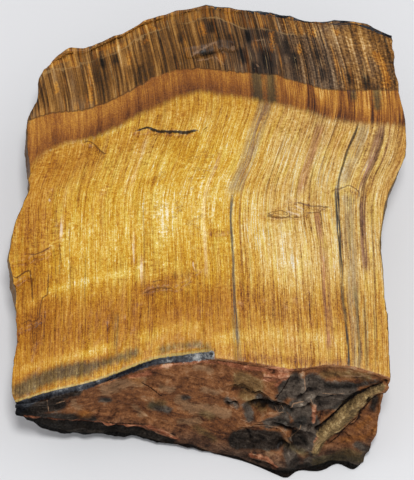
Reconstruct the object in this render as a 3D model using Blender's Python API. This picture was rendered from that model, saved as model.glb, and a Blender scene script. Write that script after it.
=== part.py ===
"""A hand-sized piece of rough tiger's eye: a fibrous golden slab broken from its vein, in one solid.

The stone lies on its flat underside with its fibrous face up. The fibres run along Y, from the
jasper end (-Y) to the dark crust at the far end (+Y). The named sizes and places are in millimetres.
"""

import itertools

import bmesh
import bpy
import numpy as np

MM = 0.001

# Rim of the fibrous upper face: four edges, each from left to right or from near to far, as x, y, z.
NEAR_RIM = [
    (-38.4, -41.4, 24.3), (-32.2, -40.8, 25.2), (-26.9, -39.7, 25.6), (-20.5, -37.3, 26.0),
    (-12.7, -34.2, 26.6), (-3.8, -33.1, 27.1), (0.7, -32.9, 27.5), (7.9, -33.9, 27.6),
    (15.7, -35.3, 27.4), (23.6, -34.3, 27.6), (28.5, -34.9, 27.4), (35.6, -36.8, 26.8),
]
FAR_RIM = [
    (-33.3, 34.2, 24.0), (-29.4, 37.4, 23.8), (-25.6, 37.6, 24.0), (-21.0, 40.2, 23.8),
    (-17.9, 41.4, 24.0), (-14.2, 44.1, 23.6), (-6.6, 46.8, 23.6), (-2.0, 47.9, 23.4),
    (6.4, 47.1, 23.8), (15.9, 45.5, 23.6), (20.1, 44.5, 24.0), (26.6, 44.0, 23.8),
    (31.2, 44.2, 23.6), (38.8, 40.6, 23.8),
]
LEFT_RIM = [
    (-38.4, -41.4, 24.3), (-39.2, -34.8, 25.0), (-38.8, -31.0, 25.2), (-38.5, -21.8, 25.4),
    (-39.5, -16.9, 25.0), (-40.3, -12.0, 25.2), (-39.6, -3.4, 25.6), (-37.8, 1.0, 26.0),
    (-36.8, 3.2, 26.2), (-37.6, 14.7, 25.6), (-37.7, 19.9, 25.4), (-35.7, 25.0, 24.8),
    (-35.4, 30.2, 24.4), (-33.3, 34.2, 24.0),
]
RIGHT_RIM = [
    (35.6, -36.8, 26.8), (35.7, -27.6, 27.0), (35.2, -20.0, 27.0), (34.8, -13.3, 27.2),
    (34.3, -8.5, 27.2), (35.1, -3.0, 27.0), (35.9, 1.6, 26.8), (38.3, 6.6, 26.6), (40.7, 13.6, 26.2),
    (40.9, 18.1, 26.0), (39.3, 28.8, 25.0), (38.5, 33.9, 24.4), (38.8, 40.6, 23.8),
]

# Foot of the four sides, where they turn under. The near left corner is undercut.
NEAR_FOOT = [
    (-37.0, -40.3, 13.5), (-34.0, -41.3, 10.0), (-30.1, -42.1, 7.0), (-25.4, -41.8, 5.5),
    (-18.7, -41.6, 4.0), (-14.4, -41.8, 3.0), (-10.7, -43.1, 2.5), (-3.8, -43.6, 2.0),
    (1.6, -44.7, 0.6), (5.0, -45.3, 0.2), (9.8, -46.9, 0.0), (13.6, -48.6, 0.0),
    (15.7, -49.4, 0.0), (17.6, -48.0, 0.0), (22.7, -47.9, 0.0), (26.4, -46.4, 0.0),
    (29.2, -47.5, 0.0), (31.8, -45.9, 1.2),
]
FAR_FOOT = [
    (-32.3, 34.8, 3.0), (-24.5, 38.2, 2.0), (-14.5, 43.1, 2.0), (-2.5, 46.8, 1.5),
    (7.5, 47.4, 1.5), (17.5, 45.8, 1.5), (27.5, 44.0, 2.0), (37.5, 38.3, 2.0),
]
LEFT_FOOT = [
    (-37.0, -40.3, 13.5), (-38.2, -31.7, 8.0), (-38.2, -19.7, 5.0), (-39.0, -9.7, 3.0),
    (-36.6, 4.3, 2.0), (-36.2, 16.3, 2.0), (-35.0, 26.3, 2.0), (-32.3, 34.8, 3.0),
]
RIGHT_FOOT = [
    (31.8, -45.9, 1.2), (33.2, -39.0, 1.8), (34.3, -31.7, 2.0), (34.2, -19.7, 1.5), (33.4, -9.7, 1.0),
    (34.2, 0.3, 1.0), (37.2, 10.3, 1.0), (39.6, 19.3, 1.0), (39.2, 29.3, 1.0), (37.5, 38.3, 2.0),
]

CROWN = 1.2          # rise of the upper face's middle over its rim
BELLY = (0.6, 0.3)   # how far the sides along X and along Y swell out half way down
UNDERCUT = 0.14      # share of the underside, from each edge, that curves up to the foot
BASE_FLAT = 1.5      # height under which the sides keep no relief, so that the stone rests flat
BASE_HOLLOWS = (0.9, (13.0, 20.0, 13.0), 50)     # height, size and seed, as for uneven ground
BASE_LEVEL = (14.0, 28.0)    # the underside is level within the first of these from its middle

# Marks of the upper face, seen from above: name, size, reach or width, and path (x, y) from the left.
# A ledge drops by its size on the near side of its path and climbs back over its reach.
TOP_LEDGES = [
    ("long crack", 0.9, 5.0, [(-16.4, 16.3), (-13.6, 16.7), (-12.1, 17.0), (-7.6, 16.3),
                              (-5.2, 16.1), (-1.2, 16.6)]),
    ("chip under the orange band", 0.5, 3.0, [(-26.6, 14.1), (-23.9, 13.8), (-22.5, 12.9),
                                              (-20.4, 10.8)]),
    ("upper plate at the left edge", 0.7, 6.0, [(-41.0, -11.8), (-36.4, -10.9), (-34.6, -10.5),
                                                (-33.0, -9.9), (-31.0, -8.2)]),
    ("lower plate at the left edge", 0.8, 5.0, [(-42.0, -17.6), (-38.3, -15.4), (-36.9, -14.3),
                                                (-34.6, -14.9)]),
    ("foot of the plates", 0.5, 4.0, [(-40.0, -26.8), (-35.4, -25.1), (-33.6, -24.3),
                                      (-32.6, -21.8)]),
    ("front of the step", 0.8, 5.0, [(9.6, -1.8), (12.6, -2.7), (16.8, -2.7), (20.6, -1.6)]),
    ("back of the step", 0.5, 4.0, [(11.8, -1.4), (14.6, 0.1), (16.4, 1.0), (19.2, 0.3),
                                    (25.6, -1.2)]),
    ("small step by the black vein", 0.6, 4.0, [(22.7, 2.7), (25.9, 3.6), (28.4, 3.8), (30.0, 2.7),
                                                (30.9, 0.8)]),
    ("flake in the golden face", 0.5, 5.0, [(-14.0, -19.4), (-12.2, -18.4), (-8.6, -17.8),
                                            (-6.6, -18.0), (-3.9, -16.3), (-3.1, -14.6),
                                            (-0.6, -14.2)]),
    ("nick by the blue vein", 0.3, 2.0, [(-1.4, -7.2), (0.5, -6.4), (2.1, -6.6), (4.4, -6.1)]),
]
# A stroke rises, or sinks where its size is under zero, and fades over its width.
TOP_STROKES = [
    ("fold where the fibres turn", 0.5, 15.0, [(-37.0, 3.2), (-16.1, 4.1), (4.5, 0.3),
                                               (18.2, 0.3), (26.0, 4.1), (36.0, -4.5)]),
    ("hollow in the dark band", -1.1, 1.9, [(-4.0, 35.1), (-0.7, 35.8), (2.6, 37.0), (4.6, 36.7)]),
]
# Beyond the brow line the upper face falls away to the far rim. The crust line is the brow of the
# golden face along its near left edge, and the dark crust lies a step under it.
BROW_LINE = [
    (-36.0, 31.0), (-29.6, 32.5), (-24.0, 33.9), (-18.6, 36.2), (-13.1, 40.5), (-6.6, 42.6),
    (0.1, 44.3), (12.3, 43.6), (19.8, 41.9), (31.6, 41.7), (40.0, 38.4),
]
BROW_SLOPE = 0.3
CRUST_LINE = [
    (-40.0, -40.8), (-32.2, -39.2), (-24.4, -37.6), (-20.5, -36.0), (-13.0, -32.8), (-7.8, -31.5),
    (-0.5, -30.5), (1.0, -31.2),
]
CRUST_STEP = 0.7
CRUST_EDGE = (0.1, -0.5)     # the step lies between these two offsets from its line
# Uneven ground: the height, the size of a lump along X, Y and Z, and the seed.
FIBRE_RIDGES = (0.22, (4.0, 60.0, 4.0), 5)
WAVES = (0.35, (20.0, 30.0, 20.0), 6)

# Marks of the jasper end, seen from the front: paths are (x, z), and a ledge drops under its path.
END_LEDGES = [
    ("plate over the dark shelf", 1.4, 8.0, [(4.7, 9.2), (6.3, 10.3), (8.1, 10.6), (10.9, 12.7),
                                             (12.8, 11.1), (14.8, 10.7), (18.2, 7.5)]),
    ("facet over the upper hollow", 1.6, 4.0, [(9.6, 21.4), (11.3, 19.9), (12.7, 19.6), (14.3, 19.5),
                                               (16.0, 20.3)]),
    ("under the golden strip", 1.6, 8.0, [(21.3, 5.2), (22.6, 8.1), (24.5, 10.0), (26.8, 11.1),
                                          (28.9, 13.1), (30.4, 18.4), (31.4, 21.0), (33.6, 22.4),
                                          (38.0, 23.2)]),
    ("brow of the left chamfer", 0.9, 5.0, [(-39.5, 18.2), (-36.8, 18.6), (-33.3, 18.8), (-30.8, 17.0),
                                            (-27.1, 15.1), (-22.9, 12.8), (-18.9, 10.2), (-14.9, 7.6),
                                            (-10.9, 6.0), (-6.5, 4.2)]),
]
END_STROKES = [
    ("left ridge", 0.9, 3.0, [(-38.4, 19.4), (-36.8, 19.6), (-33.3, 19.8), (-30.8, 18.0),
                              (-27.1, 16.0), (-22.9, 13.8), (-20.4, 12.4)]),
    ("salmon ridge", 0.9, 1.8, [(-20.4, 12.4), (-16.1, 9.9), (-13.0, 9.2), (-9.3, 7.7), (-6.8, 6.1)]),
    ("valley under the salmon facet", -1.1, 2.0, [(5.2, 20.7), (8.3, 19.3), (10.6, 18.7)]),
    ("upper hollow", -2.8, 2.2, [(8.8, 15.9), (10.5, 16.1), (12.2, 16.4), (14.7, 17.1)]),
    ("lower hollow", -3.0, 2.1, [(13.5, 12.3), (15.4, 12.3), (18.4, 10.2), (18.5, 8.1)]),
    ("tongue between the hollows", 1.9, 1.4, [(9.8, 14.4), (11.0, 15.1), (12.7, 15.8), (15.0, 16.8)]),
    ("fold of the salmon facet", 0.6, 1.1, [(10.9, 25.6), (13.1, 26.1), (15.5, 26.3)]),
    ("pale rib", 0.9, 1.1, [(18.2, 28.6), (18.4, 25.7), (18.6, 23.5)]),
    ("ridge from the rib", 1.0, 1.4, [(18.4, 23.3), (17.3, 22.5), (16.1, 21.5)]),
    ("knob", 1.7, 2.0, [(16.7, 19.9), (18.3, 20.2)]),
    ("ridge over the grey facet", 0.7, 1.2, [(19.4, 21.5), (21.0, 21.0), (23.8, 21.4), (27.2, 21.4)]),
    ("rib by the hollows", 1.2, 1.3, [(19.4, 21.5), (21.0, 18.3), (21.1, 16.2), (20.7, 14.2)]),
    ("column", 0.9, 1.3, [(19.8, 17.3), (19.2, 14.8), (19.1, 9.8), (18.5, 7.7)]),
    ("golden strip", 0.8, 2.8, [(34.0, 24.2), (31.4, 22.3), (29.5, 19.9), (27.7, 16.8), (25.9, 14.6),
                                (23.9, 12.5), (22.3, 10.1), (21.3, 7.3)]),
    ("fissure over the golden strip", -1.5, 1.3, [(34.7, 25.5), (31.3, 22.8), (29.1, 20.5),
                                                  (27.5, 18.2), (26.0, 16.3), (24.4, 14.5),
                                                  (23.0, 13.1), (22.0, 11.8)]),
    ("ring pit", -1.2, 1.4, [(3.8, 15.4), (4.7, 15.6)]),
    ("dark shelf", -0.9, 4.0, [(6.2, 6.1), (9.5, 6.4), (12.9, 7.1)]),
    ("lower lip", 0.9, 1.8, [(9.0, 3.0), (11.5, 3.5), (13.8, 3.6)]),
    ("lower pits", -0.9, 1.1, [(13.8, 6.7), (15.4, 7.2), (18.4, 6.7)]),
]
# Shell-like chips: their size, their depth, and the seed of their places.
END_CHIPS = (6.0, 0.9, 20)       # on the jasper
SIDE_CHIPS = (9.0, 1.7, 40)      # on the broken left and right sides
FAR_CHIPS = (4.5, 0.9, 30)       # on the crust at the far end
CHIP_SPREAD = 0.5                # how much deeper some chips lie than others
CHIP_LEVEL = 0.3                 # the height in a chip that stays at the plain form
LIP_WIDTH = 0.8                  # width over which a ledge drops
LEDGE_END = 0.15                 # share of a ledge, at each end, over which it fades out

# How far a normal must turn before a point counts as facing up, or as facing near or far.
FACING_UP = (0.5, 0.85)
FACING_OUT = (0.35, 0.7)

DIVISIONS = (112, 124, 40)   # steps along X, Y and Z before the stone is thinned out to facets
ROUNDING_PASSES = 4
FACETS = 7800
SHARP_EDGE = 0.7             # radians between two facets over which their edge is left sharp

STONE_COLOUR = (0.42, 0.21, 0.045, 1.0)
STONE_ROUGHNESS = 0.5


def along_curve(points, share):
    """Points of the smooth curve through the given ones, at shares of its length from 0 to 1."""
    points = np.array(points, float)
    steps = np.linalg.norm(np.diff(points, axis=0), axis=1)
    knots = np.concatenate([[0], np.cumsum(steps)]) / steps.sum()
    slopes = np.gradient(points, knots, axis=0)
    piece = np.clip(np.searchsorted(knots, share, side="right") - 1, 0, len(steps) - 1)
    width = (knots[piece + 1] - knots[piece])[:, None]
    t = (share - knots[piece])[:, None] / width
    start, end = points[piece], points[piece + 1]
    leave, arrive = slopes[piece] * width, slopes[piece + 1] * width
    bend = start * (1 + 2 * t) * (1 - t) ** 2 + end * t * t * (3 - 2 * t)
    return bend + leave * t * (1 - t) ** 2 + arrive * t * t * (t - 1)


def patch(near, far, left, right, u, v):
    """The surface stretched between four edge curves, at u from left to right and v from near to far."""
    a, b = u[:, None], v[:, None]
    across = (1 - b) * along_curve(near, u) + b * along_curve(far, u)
    away = (1 - a) * along_curve(left, v) + a * along_curve(right, v)
    corners = (
        (1 - a) * (1 - b) * np.array(near[0]) + a * (1 - b) * np.array(near[-1])
        + (1 - a) * b * np.array(far[0]) + a * b * np.array(far[-1])
    )
    return across + away - corners


def plain_form(u, v, w):
    """Where a point of a unit cube's skin lies on the stone before its relief."""
    top = patch(NEAR_RIM, FAR_RIM, LEFT_RIM, RIGHT_RIM, u, v)
    top[:, 2] += CROWN * 16 * u * (1 - u) * v * (1 - v)
    base = patch(NEAR_FOOT, FAR_FOOT, LEFT_FOOT, RIGHT_FOOT, u, v)
    inset = np.minimum(np.minimum(u, 1 - u), np.minimum(v, 1 - v))
    base[:, 2] *= np.clip(1 - inset / UNDERCUT, 0, 1)
    form = base + (top - base) * w[:, None]
    swell = 4 * w * (1 - w)
    form[:, 0] += BELLY[0] * swell * (2 * u - 1)
    form[:, 1] += BELLY[1] * swell * (2 * v - 1)
    return form


def ramp(start, end, value):
    """0 at start and 1 at end, with soft ends."""
    t = np.clip((value - start) / (end - start), 0, 1)
    return t * t * (3 - 2 * t)


def from_path(path, flat):
    """Distance from a path, over zero on its left, and the share of the path's length passed."""
    path = np.array(path, float)
    runs = np.diff(path, axis=0)
    lengths = np.linalg.norm(runs, axis=1)
    passed = np.concatenate([[0], np.cumsum(lengths)])
    nearest = np.full(len(flat), np.inf)
    offset = np.zeros(len(flat))
    share = np.zeros(len(flat))
    for start, run, length, before in zip(path, runs, lengths, passed):
        t = np.clip((flat - start) @ run / length ** 2, 0, 1)
        gap = flat - start - t[:, None] * run
        distance = np.hypot(gap[:, 0], gap[:, 1])
        closer = distance < nearest
        side = np.where(run[0] * gap[:, 1] < run[1] * gap[:, 0], -1, 1)
        nearest = np.where(closer, distance, nearest)
        offset = np.where(closer, side * distance, offset)
        share = np.where(closer, (before + t * length) / passed[-1], share)
    return offset, share


def ledges(flat, marks):
    height = np.zeros(len(flat))
    for _, drop, reach, path in marks:
        offset, share = from_path(path, flat)
        ends = ramp(0, LEDGE_END, share) * ramp(1, 1 - LEDGE_END, share)
        height -= drop * ends * ramp(0, -LIP_WIDTH, offset) * np.clip(1 + offset / reach, 0, 1)
    return height


def strokes(flat, marks):
    height = np.zeros(len(flat))
    for _, rise, width, path in marks:
        offset, _ = from_path(path, flat)
        height += rise * ramp(width, 0, np.abs(offset))
    return height


def scatter(cells, seed):
    """A fixed random number from 0 to 1 for each cell of whole-number coordinates."""
    key = cells @ np.array([73856093, 19349663, 83492791]) + seed * 15485863
    key = (key ^ (key >> 13)) & 0xFFFFFFFF
    key = (key * 1274126177) & 0xFFFFFFFF
    return ((key ^ (key >> 16)) & 0xFFFF) / 0xFFFF


def uneven(points, height, size, seed):
    """Smooth random ground between plus and minus a height, with one lump for each size."""
    scaled = points / np.array(size)
    cell = np.floor(scaled).astype(np.int64)
    blend = scaled - cell
    blend = blend * blend * (3 - 2 * blend)
    level = np.zeros(len(points))
    for corner in itertools.product((0, 1), repeat=3):
        weight = np.prod(np.where(corner, blend, 1 - blend), axis=1)
        level += weight * (2 * scatter(cell + corner, seed) - 1)
    return height * level


def chips(points, size, depth, seed):
    """Shell-like chips about a size apart: bowls that meet in sharp ridges."""
    scaled = points / size
    cell = np.floor(scaled).astype(np.int64)
    bowl = np.full(len(points), np.inf)
    for step in itertools.product((-1, 0, 1), repeat=3):
        near = cell + step
        middle = near + np.stack([scatter(near, seed + axis) for axis in range(3)], axis=1)
        away = ((scaled - middle) ** 2).sum(axis=1)
        bowl = np.minimum(bowl, away - CHIP_SPREAD * scatter(near, seed + 3))
    return depth * (bowl - CHIP_LEVEL)


def top_relief(points):
    seen_above = points[:, :2]
    beyond_brow = np.maximum(from_path(BROW_LINE, seen_above)[0], 0)
    crust_offset, crust_share = from_path(CRUST_LINE, seen_above)
    over_crust = ramp(*CRUST_EDGE, crust_offset) * (crust_share < 1)
    height = ledges(seen_above, TOP_LEDGES) + strokes(seen_above, TOP_STROKES)
    height += uneven(points, *FIBRE_RIDGES) + uneven(points, *WAVES)
    return height - BROW_SLOPE * beyond_brow - CRUST_STEP * over_crust


def end_relief(points):
    seen_front = points[:, [0, 2]]
    return ledges(seen_front, END_LEDGES) + strokes(seen_front, END_STROKES) + chips(points, *END_CHIPS)


def relief(points, normals):
    """How far each point moves out along its normal, in mm."""
    up = ramp(*FACING_UP, normals[:, 2])
    near = ramp(*FACING_OUT, -normals[:, 1]) * (1 - up)
    far = ramp(*FACING_OUT, normals[:, 1]) * (1 - up)
    side = (1 - up) * (1 - near) * (1 - far)
    sides = near * end_relief(points) + far * chips(points, *FAR_CHIPS) + side * chips(points, *SIDE_CHIPS)
    return up * top_relief(points) + ramp(0, BASE_FLAT, points[:, 2]) * sides


def underside(points):
    """The outer part of the underside has shallow hollows, and none of it is under the ground."""
    middle = np.hypot(points[:, 0], points[:, 1])
    hollow = ramp(*BASE_LEVEL, middle) * uneven(points, *BASE_HOLLOWS)
    low = points[:, 2] < BASE_HOLLOWS[0]
    points[low, 2] = np.maximum(points[low, 2], hollow[low])
    points[:, 2] = np.maximum(points[:, 2], 0)


def divided_cube():
    """A unit cube whose faces are divided into fine squares."""
    cube = bmesh.new()
    bmesh.ops.create_cube(cube, size=1)
    bmesh.ops.translate(cube, verts=cube.verts, vec=(0.5, 0.5, 0.5))
    for axis, steps in enumerate(DIVISIONS):
        edges = [e for e in cube.edges if abs(e.verts[0].co[axis] - e.verts[1].co[axis]) > 0.5]
        bmesh.ops.subdivide_edges(cube, edges=edges, cuts=steps - 1, use_grid_fill=True)
    return cube


def place(mesh, points):
    for vert, point in zip(mesh.verts, points):
        vert.co = point
    mesh.normal_update()


def stone_material():
    material = bpy.data.materials.new("tigers_eye")
    material.use_nodes = True
    shader = material.node_tree.nodes["Principled BSDF"]
    shader.inputs["Base Color"].default_value = STONE_COLOUR
    shader.inputs["Roughness"].default_value = STONE_ROUGHNESS
    shader.inputs["Metallic"].default_value = 0.0
    return material


def build_stone():
    cube = divided_cube()
    place(cube, plain_form(*np.array([vert.co[:] for vert in cube.verts]).T))
    for _ in range(ROUNDING_PASSES):
        bmesh.ops.smooth_vert(cube, verts=cube.verts, factor=0.5, use_axis_x=True,
                              use_axis_y=True, use_axis_z=True)
    cube.normal_update()
    points = np.array([vert.co[:] for vert in cube.verts])
    normals = np.array([vert.normal[:] for vert in cube.verts])
    points += normals * relief(points, normals)[:, None]
    underside(points)
    place(cube, points * MM)

    mesh = bpy.data.meshes.new("rough_stone")
    cube.to_mesh(mesh)
    cube.free()
    mesh.materials.append(stone_material())
    mesh.shade_smooth()
    mesh.set_sharp_from_angle(angle=SHARP_EDGE)
    stone = bpy.data.objects.new("rough_stone", mesh)
    bpy.context.scene.collection.objects.link(stone)
    triangles = 4 * sum(a * b for a, b in itertools.combinations(DIVISIONS, 2))
    facets = stone.modifiers.new("facets", "DECIMATE")
    facets.ratio = FACETS / triangles
    return stone


for item in list(bpy.data.objects):
    bpy.data.objects.remove(item)
build_stone()
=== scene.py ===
"""The finish of a rough piece of tiger's eye: its fine broken surface, its banded fibrous colours,
its jasper end and its dark crust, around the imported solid. Named sizes and places are in millimetres.
"""

import itertools
import math

import bmesh
import bpy
import numpy as np
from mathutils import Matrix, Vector


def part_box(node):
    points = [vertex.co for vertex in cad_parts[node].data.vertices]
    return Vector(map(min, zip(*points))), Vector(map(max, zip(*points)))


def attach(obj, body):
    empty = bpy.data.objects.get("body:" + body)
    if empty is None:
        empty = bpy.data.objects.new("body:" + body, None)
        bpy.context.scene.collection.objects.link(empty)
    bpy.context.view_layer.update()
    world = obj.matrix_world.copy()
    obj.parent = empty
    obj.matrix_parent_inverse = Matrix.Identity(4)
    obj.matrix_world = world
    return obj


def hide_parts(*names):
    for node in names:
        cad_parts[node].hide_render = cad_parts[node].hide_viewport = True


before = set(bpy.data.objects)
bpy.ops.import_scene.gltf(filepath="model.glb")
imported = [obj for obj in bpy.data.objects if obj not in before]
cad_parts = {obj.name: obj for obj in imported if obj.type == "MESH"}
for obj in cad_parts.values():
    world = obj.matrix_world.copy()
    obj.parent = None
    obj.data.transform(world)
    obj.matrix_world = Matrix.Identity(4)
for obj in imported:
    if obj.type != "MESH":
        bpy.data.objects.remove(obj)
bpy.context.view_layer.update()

MM = 0.001

# The plain form: rims of the upper face and feet of the sides, as x, y, z

NEAR_RIM = [
    (-38.4, -41.4, 24.3), (-32.2, -40.8, 25.2), (-26.9, -39.7, 25.6), (-20.5, -37.3, 26.0),
    (-12.7, -34.2, 26.6), (-3.8, -33.1, 27.1), (0.7, -32.9, 27.5), (7.9, -33.9, 27.6),
    (15.7, -35.3, 27.4), (23.6, -34.3, 27.6), (28.5, -34.9, 27.4), (35.6, -36.8, 26.8),
]
FAR_RIM = [
    (-33.3, 34.2, 24.0), (-29.4, 37.4, 23.8), (-25.6, 37.6, 24.0), (-21.0, 40.2, 23.8),
    (-17.9, 41.4, 24.0), (-14.2, 44.1, 23.6), (-6.6, 46.8, 23.6), (-2.0, 47.9, 23.4), (6.4, 47.1, 23.8),
    (15.9, 45.5, 23.6), (20.1, 44.5, 24.0), (26.6, 44.0, 23.8), (31.2, 44.2, 23.6), (38.8, 40.6, 23.8),
]
LEFT_RIM = [
    (-38.4, -41.4, 24.3), (-39.2, -34.8, 25.0), (-38.8, -31.0, 25.2), (-38.5, -21.8, 25.4),
    (-39.5, -16.9, 25.0), (-40.3, -12.0, 25.2), (-39.6, -3.4, 25.6), (-37.8, 1.0, 26.0),
    (-36.8, 3.2, 26.2), (-37.6, 14.7, 25.6), (-37.7, 19.9, 25.4), (-35.7, 25.0, 24.8),
    (-35.4, 30.2, 24.4), (-33.3, 34.2, 24.0),
]
RIGHT_RIM = [
    (35.6, -36.8, 26.8), (35.7, -27.6, 27.0), (35.2, -20.0, 27.0), (34.8, -13.3, 27.2),
    (34.3, -8.5, 27.2), (35.1, -3.0, 27.0), (35.9, 1.6, 26.8), (38.3, 6.6, 26.6), (40.7, 13.6, 26.2),
    (40.9, 18.1, 26.0), (39.3, 28.8, 25.0), (38.5, 33.9, 24.4), (38.8, 40.6, 23.8),
]
NEAR_FOOT = [
    (-37.0, -40.3, 13.5), (-34.0, -41.3, 10.0), (-30.1, -42.1, 7.0), (-25.4, -41.8, 5.5),
    (-18.7, -41.6, 4.0), (-14.4, -41.8, 3.0), (-10.7, -43.1, 2.5), (-3.8, -43.6, 2.0), (1.6, -44.7, 0.6),
    (5.0, -45.3, 0.2), (9.8, -46.9, 0.0), (13.6, -48.6, 0.0), (15.7, -49.4, 0.0), (17.6, -48.0, 0.0),
    (22.7, -47.9, 0.0), (26.4, -46.4, 0.0), (29.2, -47.5, 0.0), (31.8, -45.9, 1.2),
]
FAR_FOOT = [
    (-32.3, 34.8, 3.0), (-24.5, 38.2, 2.0), (-14.5, 43.1, 2.0), (-2.5, 46.8, 1.5), (7.5, 47.4, 1.5),
    (17.5, 45.8, 1.5), (27.5, 44.0, 2.0), (37.5, 38.3, 2.0),
]
LEFT_FOOT = [
    (-37.0, -40.3, 13.5), (-38.2, -31.7, 8.0), (-38.2, -19.7, 5.0), (-39.0, -9.7, 3.0), (-36.6, 4.3, 2.0),
    (-36.2, 16.3, 2.0), (-35.0, 26.3, 2.0), (-32.3, 34.8, 3.0),
]
RIGHT_FOOT = [
    (31.8, -45.9, 1.2), (33.2, -39.0, 1.8), (34.3, -31.7, 2.0), (34.2, -19.7, 1.5), (33.4, -9.7, 1.0),
    (34.2, 0.3, 1.0), (37.2, 10.3, 1.0), (39.6, 19.3, 1.0), (39.2, 29.3, 1.0), (37.5, 38.3, 2.0),
]
CROWN = 1.2
BELLY = (0.6, 0.3)
UNDERCUT = 0.14
BASE_FLAT = 1.5
BASE_HOLLOWS = (0.9, (13.0, 20.0, 13.0), 50)
BASE_LEVEL = (14.0, 28.0)
BASE_GRAIN = (0.25, (1.6, 9.0, 1.6), 51)
BASE_CONTACT = (6.0, 12.0)       # the very middle of the underside stays flat

# Marks of the upper face: name, drop or rise, reach or width, path (x, y) from the left

TOP_LEDGES = [
    ("long crack", 0.9, 5.0, [(-16.4, 16.3), (-13.6, 16.7), (-12.1, 17.0), (-7.6, 16.3), (-5.2, 16.1),
        (-1.2, 16.6)]),
    ("chip under the orange band", 0.5, 3.0, [(-26.6, 14.1), (-23.9, 13.8), (-22.5, 12.9),
        (-20.4, 10.8)]),
    ("upper plate at the left edge", 0.7, 6.0, [(-41.0, -11.8), (-36.4, -10.9), (-34.6, -10.5),
        (-33.0, -9.9), (-31.0, -8.2)]),
    ("lower plate at the left edge", 0.8, 5.0, [(-42.0, -17.6), (-38.3, -15.4), (-36.9, -14.3),
        (-34.6, -14.9)]),
    ("foot of the plates", 0.5, 4.0, [(-40.0, -26.8), (-35.4, -25.1), (-33.6, -24.3), (-32.6, -21.8)]),
    ("front of the step", 0.8, 5.0, [(9.6, -1.8), (12.6, -2.7), (16.8, -2.7), (20.6, -1.6)]),
    ("back of the step", 0.5, 4.0, [(11.8, -1.4), (14.6, 0.1), (16.4, 1.0), (19.2, 0.3), (25.6, -1.2)]),
    ("small step by the black vein", 0.6, 4.0, [(22.7, 2.7), (25.9, 3.6), (28.4, 3.8), (30.0, 2.7),
        (30.9, 0.8)]),
    ("flake in the golden face", 0.5, 5.0, [(-14.0, -19.4), (-12.2, -18.4), (-8.6, -17.8), (-6.6, -18.0),
        (-3.9, -16.3), (-3.1, -14.6), (-0.6, -14.2)]),
    ("nick by the blue vein", 0.3, 2.0, [(-1.4, -7.2), (0.5, -6.4), (2.1, -6.6), (4.4, -6.1)]),
]
TOP_STROKES = [
    ("fold where the fibres turn", 0.5, 15.0, [(-37.0, 3.2), (-16.1, 4.1), (4.5, 0.3), (18.2, 0.3),
        (26.0, 4.1), (36.0, -4.5)]),
    ("hollow in the dark band", -1.1, 1.9, [(-4.0, 35.1), (-0.7, 35.8), (2.6, 37.0), (4.6, 36.7)]),
]
BROW_LINE = [
    (-36.0, 31.0), (-29.6, 32.5), (-24.0, 33.9), (-18.6, 36.2), (-13.1, 40.5), (-6.6, 42.6), (0.1, 44.3),
    (12.3, 43.6), (19.8, 41.9), (31.6, 41.7), (40.0, 38.4),
]
BROW_SLOPE = 0.3
CRUST_LINE = [
    (-40.0, -40.8), (-32.2, -39.2), (-24.4, -37.6), (-20.5, -36.0), (-13.0, -32.8), (-7.8, -31.5),
    (-0.5, -30.5), (1.0, -31.2),
]
CRUST_STEP = 0.7
CRUST_EDGE = (0.1, -0.5)
FIBRE_RIDGES = (0.22, (4.0, 60.0, 4.0), 5)
WAVES = (0.35, (20.0, 30.0, 20.0), 6)

# Marks of the jasper end: name, drop or rise, reach or width, path (x, z)

CHAMFER_BROW = [
    (-39.5, 18.2), (-36.8, 18.6), (-33.3, 18.8), (-30.8, 17.0), (-27.1, 15.1), (-22.9, 12.8),
    (-18.9, 10.2), (-14.9, 7.6), (-10.9, 6.0), (-6.5, 4.2),
]
END_LEDGES = [
    ("plate over the dark shelf", 1.4, 8.0, [(4.7, 9.2), (6.3, 10.3), (8.1, 10.6), (10.9, 12.7),
        (12.8, 11.1), (14.8, 10.7), (18.2, 7.5)]),
    ("facet over the upper hollow", 1.6, 4.0, [(9.6, 21.4), (11.3, 19.9), (12.7, 19.6), (14.3, 19.5),
        (16.0, 20.3)]),
    ("under the golden strip", 1.6, 8.0, [(21.3, 5.2), (22.6, 8.1), (24.5, 10.0), (26.8, 11.1),
        (28.9, 13.1), (30.4, 18.4), (31.4, 21.0), (33.6, 22.4), (38.0, 23.2)]),
    ("brow of the left chamfer", 0.9, 5.0, CHAMFER_BROW),
]
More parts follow.
